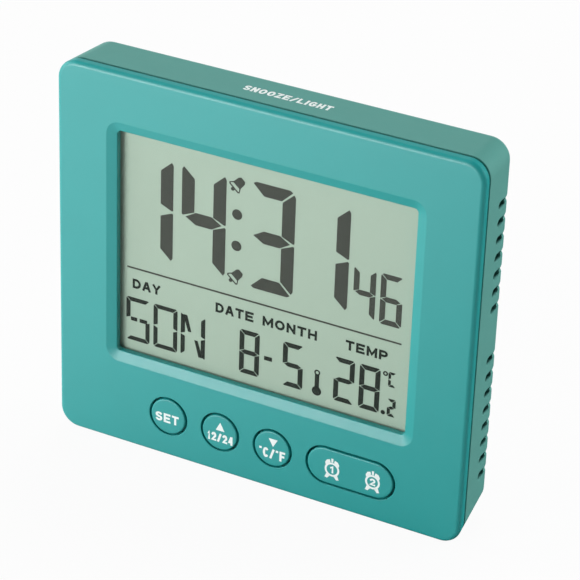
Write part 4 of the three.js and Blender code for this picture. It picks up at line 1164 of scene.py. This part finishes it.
def make_alarm_print(number, x, z, y):
    """A small alarm clock: a ring with a number in it, two feet, two bells and a knob on top."""
    ring = (disc(x, z, 1.68, 40), disc(x, z, 1.24, 40))
    knob = [(x - 0.2, z + 1.75), (x - 0.25, z + 2.65), (x + 0.25, z + 2.65), (x + 0.2, z + 1.75)]
    foot = ((0.45, -1.6), (1.25, -1.15), (1.65, -2.15), (1.05, -2.3))
    bell = ((0.4, 1.75), (1.48, 0.9), (1.62, 1.45), (1.25, 2.1), (0.6, 2.35))
    shapes = [knob]
    for side in (-1, 1):
        shapes += [[(x + side * a, z + b) for a, b in corners] for corners in (foot, bell)]
    flat_piece("print_alarm_" + number, shapes, [ring], y, "alarm_key", "print_white")
    box = (x - 0.65, x + 0.65, z - 0.85, 1.7, 0.42)
    lettering("print_number_" + number, number, *box, facing(y + INK), "alarm_key", "print_white")


def make_top_print():
    """On the rear shell's top, which slopes down towards the back."""
    slope = TOP_DRAFT / (CASE_BACK - REAR_EDGE - FRONT_EDGE)

    def lay(x, y, side):
        return at(x, y, HEIGHT - slope * (y - FRONT_EDGE) - PRINT_SUNK + INK * side)

    lettering("print_top", "SNOOZE/LIGHT", *TOP_PRINT_BOX, lay, "case", "print_white")


make_display()
make_bells()
for text, left, right in LABELS:
    lettering("label_" + text.lower(), text, left, right, *LABEL_BOX, facing(INK_Y + INK), "case", "fine_ink")
for *line, body in KEY_PRINTS:
    lettering(*line, facing(KEY_PRINT_Y), body, "print_white")
for name, triangle, body in KEY_TRIANGLES:
    flat_piece(name, [triangle], [], KEY_PRINT_Y - INK, body, "print_white")
for number, x in ALARM_PRINTS:
    make_alarm_print(number, x, ALARM_PRINT_Z, KEY_PRINT_Y - INK)
make_top_print()
make_cell("cell_lower", LOWER_CELL_Z, 1)
make_cell("cell_upper", UPPER_CELL_Z, -1)

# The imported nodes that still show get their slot's material

for subpart in frame["record"]["subparts"]:
    node, slot = frame["nodes"][subpart["node"]], subpart["material_slot"]
    node.data.materials.clear()
    node.data.materials.append(MATERIALS[STAND_INS.get(slot, slot)])

# Floor, lights and camera, in metres

FLOOR_HALF = 3.0
FLOOR_SHADE = 0.65
FLOOR_ROUGHNESS = 0.9
SEEN_WHITENESS = 0.95
# A direction, where the change starts and ends along it, and the first and last value. The first one is
# painted shade: reflections of the floor are painted dark towards the right.
MIRRORED_PAINTED_SHADE = ((-0.98, -0.2, 0.0), -0.04, 0.1, 0.97, 0)
WORLD_STRENGTH = ((-0.8, 0.0, -0.75), -0.4, 0.5, 0.1, 1.0)
# Name, place, size, power, and whether reflections show the lamp
LAMPS = (
    ("key", (-0.28, -0.56, 0.15), 0.38, 3.0, True),
    ("side", (0.85, 0.8, 0.3), 1.2, 17.5, False),
    ("top", (-0.1, 0.4, 0.95), 0.4, 3.4, False),
    ("left", (-0.9, -0.03, 0.12), 0.5, 4.0, False),
)
LAMP_TARGET = Vector((0, 0, 0.04))
CAMERA_SENSOR = 36
CAMERA_LENS = 167.87
CAMERA_SHIFT = (0.0101, -0.0021)
CAMERA_PLACE = (0.22009, -0.435704, 0.311081)
CAMERA_RIGHT = (0.88425856, 0.46594736, 0.03130273)
CAMERA_UP = (-0.2498669, 0.41543002, 0.87463389)
CAMERA_BACK = (0.39452925, -0.78122402, 0.48377237)


def calculated(tree, operation, first, second):
    node = tree.nodes.new("ShaderNodeMath")
    node.operation = operation
    for socket, value in zip(node.inputs, (first, second)):
        if isinstance(value, float):
            socket.default_value = value
        else:
            tree.links.new(value, socket)
    return node.outputs[0]


def graded(tree, coordinates, direction, start, end, first, last):
    """A value that goes smoothly from first to last, between start and end along a direction."""
    place = tree.nodes.new("ShaderNodeTexCoord")
    towards = tree.nodes.new("ShaderNodeVectorMath")
    towards.operation = "DOT_PRODUCT"
    towards.inputs[1].default_value = direction
    change = tree.nodes.new("ShaderNodeMapRange")
    change.interpolation_type = "SMOOTHSTEP"
    for socket, value in (("From Min", start), ("From Max", end), ("To Min", first), ("To Max", last)):
        change.inputs[socket].default_value = value
    tree.links.new(place.outputs[coordinates], towards.inputs[0])
    tree.links.new(towards.outputs["Value"], change.inputs["Value"])
    return change.outputs["Result"]


def make_floor():
    """White where it is seen, with a trace of the object's shadow. In reflections it is painted shade, white
    on the left and painted dark on the right. Light it casts onto the object is its real shade.
    """
    bm = bmesh.new()
    spots = ((-1, -1), (1, -1), (1, 1), (-1, 1))
    bm.faces.new([bm.verts.new((x * FLOOR_HALF, y * FLOOR_HALF, 0)) for x, y in spots])
    floor = add_solid("floor", bm)
    material = bpy.data.materials.new("floor")
    material.use_nodes = True
    tree = material.node_tree
    link = tree.links.new
    shader = tree.nodes["Principled BSDF"]
    shader.inputs["Base Color"].default_value = (FLOOR_SHADE, FLOOR_SHADE, FLOOR_SHADE, 1)
    shader.inputs["Roughness"].default_value = FLOOR_ROUGHNESS
    shader.inputs["Specular IOR Level"].default_value = 0.0
    path = tree.nodes.new("ShaderNodeLightPath")
    glossy = path.outputs["Is Glossy Ray"]
    seen = calculated(tree, "MULTIPLY", path.outputs["Is Camera Ray"], SEEN_WHITENESS)
    through = calculated(tree, "MULTIPLY", path.outputs["Is Transmission Ray"], SEEN_WHITENESS)
    share = calculated(tree, "ADD", calculated(tree, "ADD", seen, glossy), through)
    # Painted shade: reflections of the floor darken towards its right
    painted_shade = graded(tree, "Object", *MIRRORED_PAINTED_SHADE)
    strength = calculated(tree, "SUBTRACT", 1.0, calculated(tree, "MULTIPLY", glossy, painted_shade))
    white = tree.nodes.new("ShaderNodeEmission")
    link(strength, white.inputs["Strength"])
    mix = tree.nodes.new("ShaderNodeMixShader")
    link(share, mix.inputs[0])
    link(shader.outputs[0], mix.inputs[1])
    link(white.outputs[0], mix.inputs[2])
    link(mix.outputs[0], tree.nodes["Material Output"].inputs["Surface"])
    floor.data.materials.append(material)


def make_lamp(name, place, size, power, mirrored):
    lamp = bpy.data.lights.new(name, "AREA")
    lamp.shape = "DISK"
    lamp.size = size
    lamp.energy = power
    obj = add_object(name, lamp)
    obj.location = place
    obj.visible_glossy = mirrored
    obj.rotation_mode = "QUATERNION"
    obj.rotation_quaternion = (LAMP_TARGET - obj.location).to_track_quat("-Z", "Y")


def make_world():
    """Bright on the left and below, and dim on the other side."""
    world = bpy.data.worlds.new("world")
    world.use_nodes = True
    tree = world.node_tree
    background = tree.nodes["Background"]
    strength = graded(tree, "Generated", *WORLD_STRENGTH)
    tree.links.new(strength, background.inputs["Strength"])
    background.inputs["Color"].default_value = (1, 1, 1, 1)
    bpy.context.scene.world = world


def make_camera():
    camera = bpy.data.cameras.new("camera")
    camera.sensor_width = CAMERA_SENSOR
    camera.lens = CAMERA_LENS
    camera.shift_x, camera.shift_y = CAMERA_SHIFT
    obj = add_object("camera", camera)
    turn = Matrix((CAMERA_RIGHT, CAMERA_UP, CAMERA_BACK)).transposed().to_4x4()
    obj.matrix_world = Matrix.Translation(CAMERA_PLACE) @ turn
    bpy.context.scene.camera = obj


make_floor()
make_world()
for lamp in LAMPS:
    make_lamp(*lamp)
make_camera()
bpy.context.scene.view_settings.view_transform = "Standard"
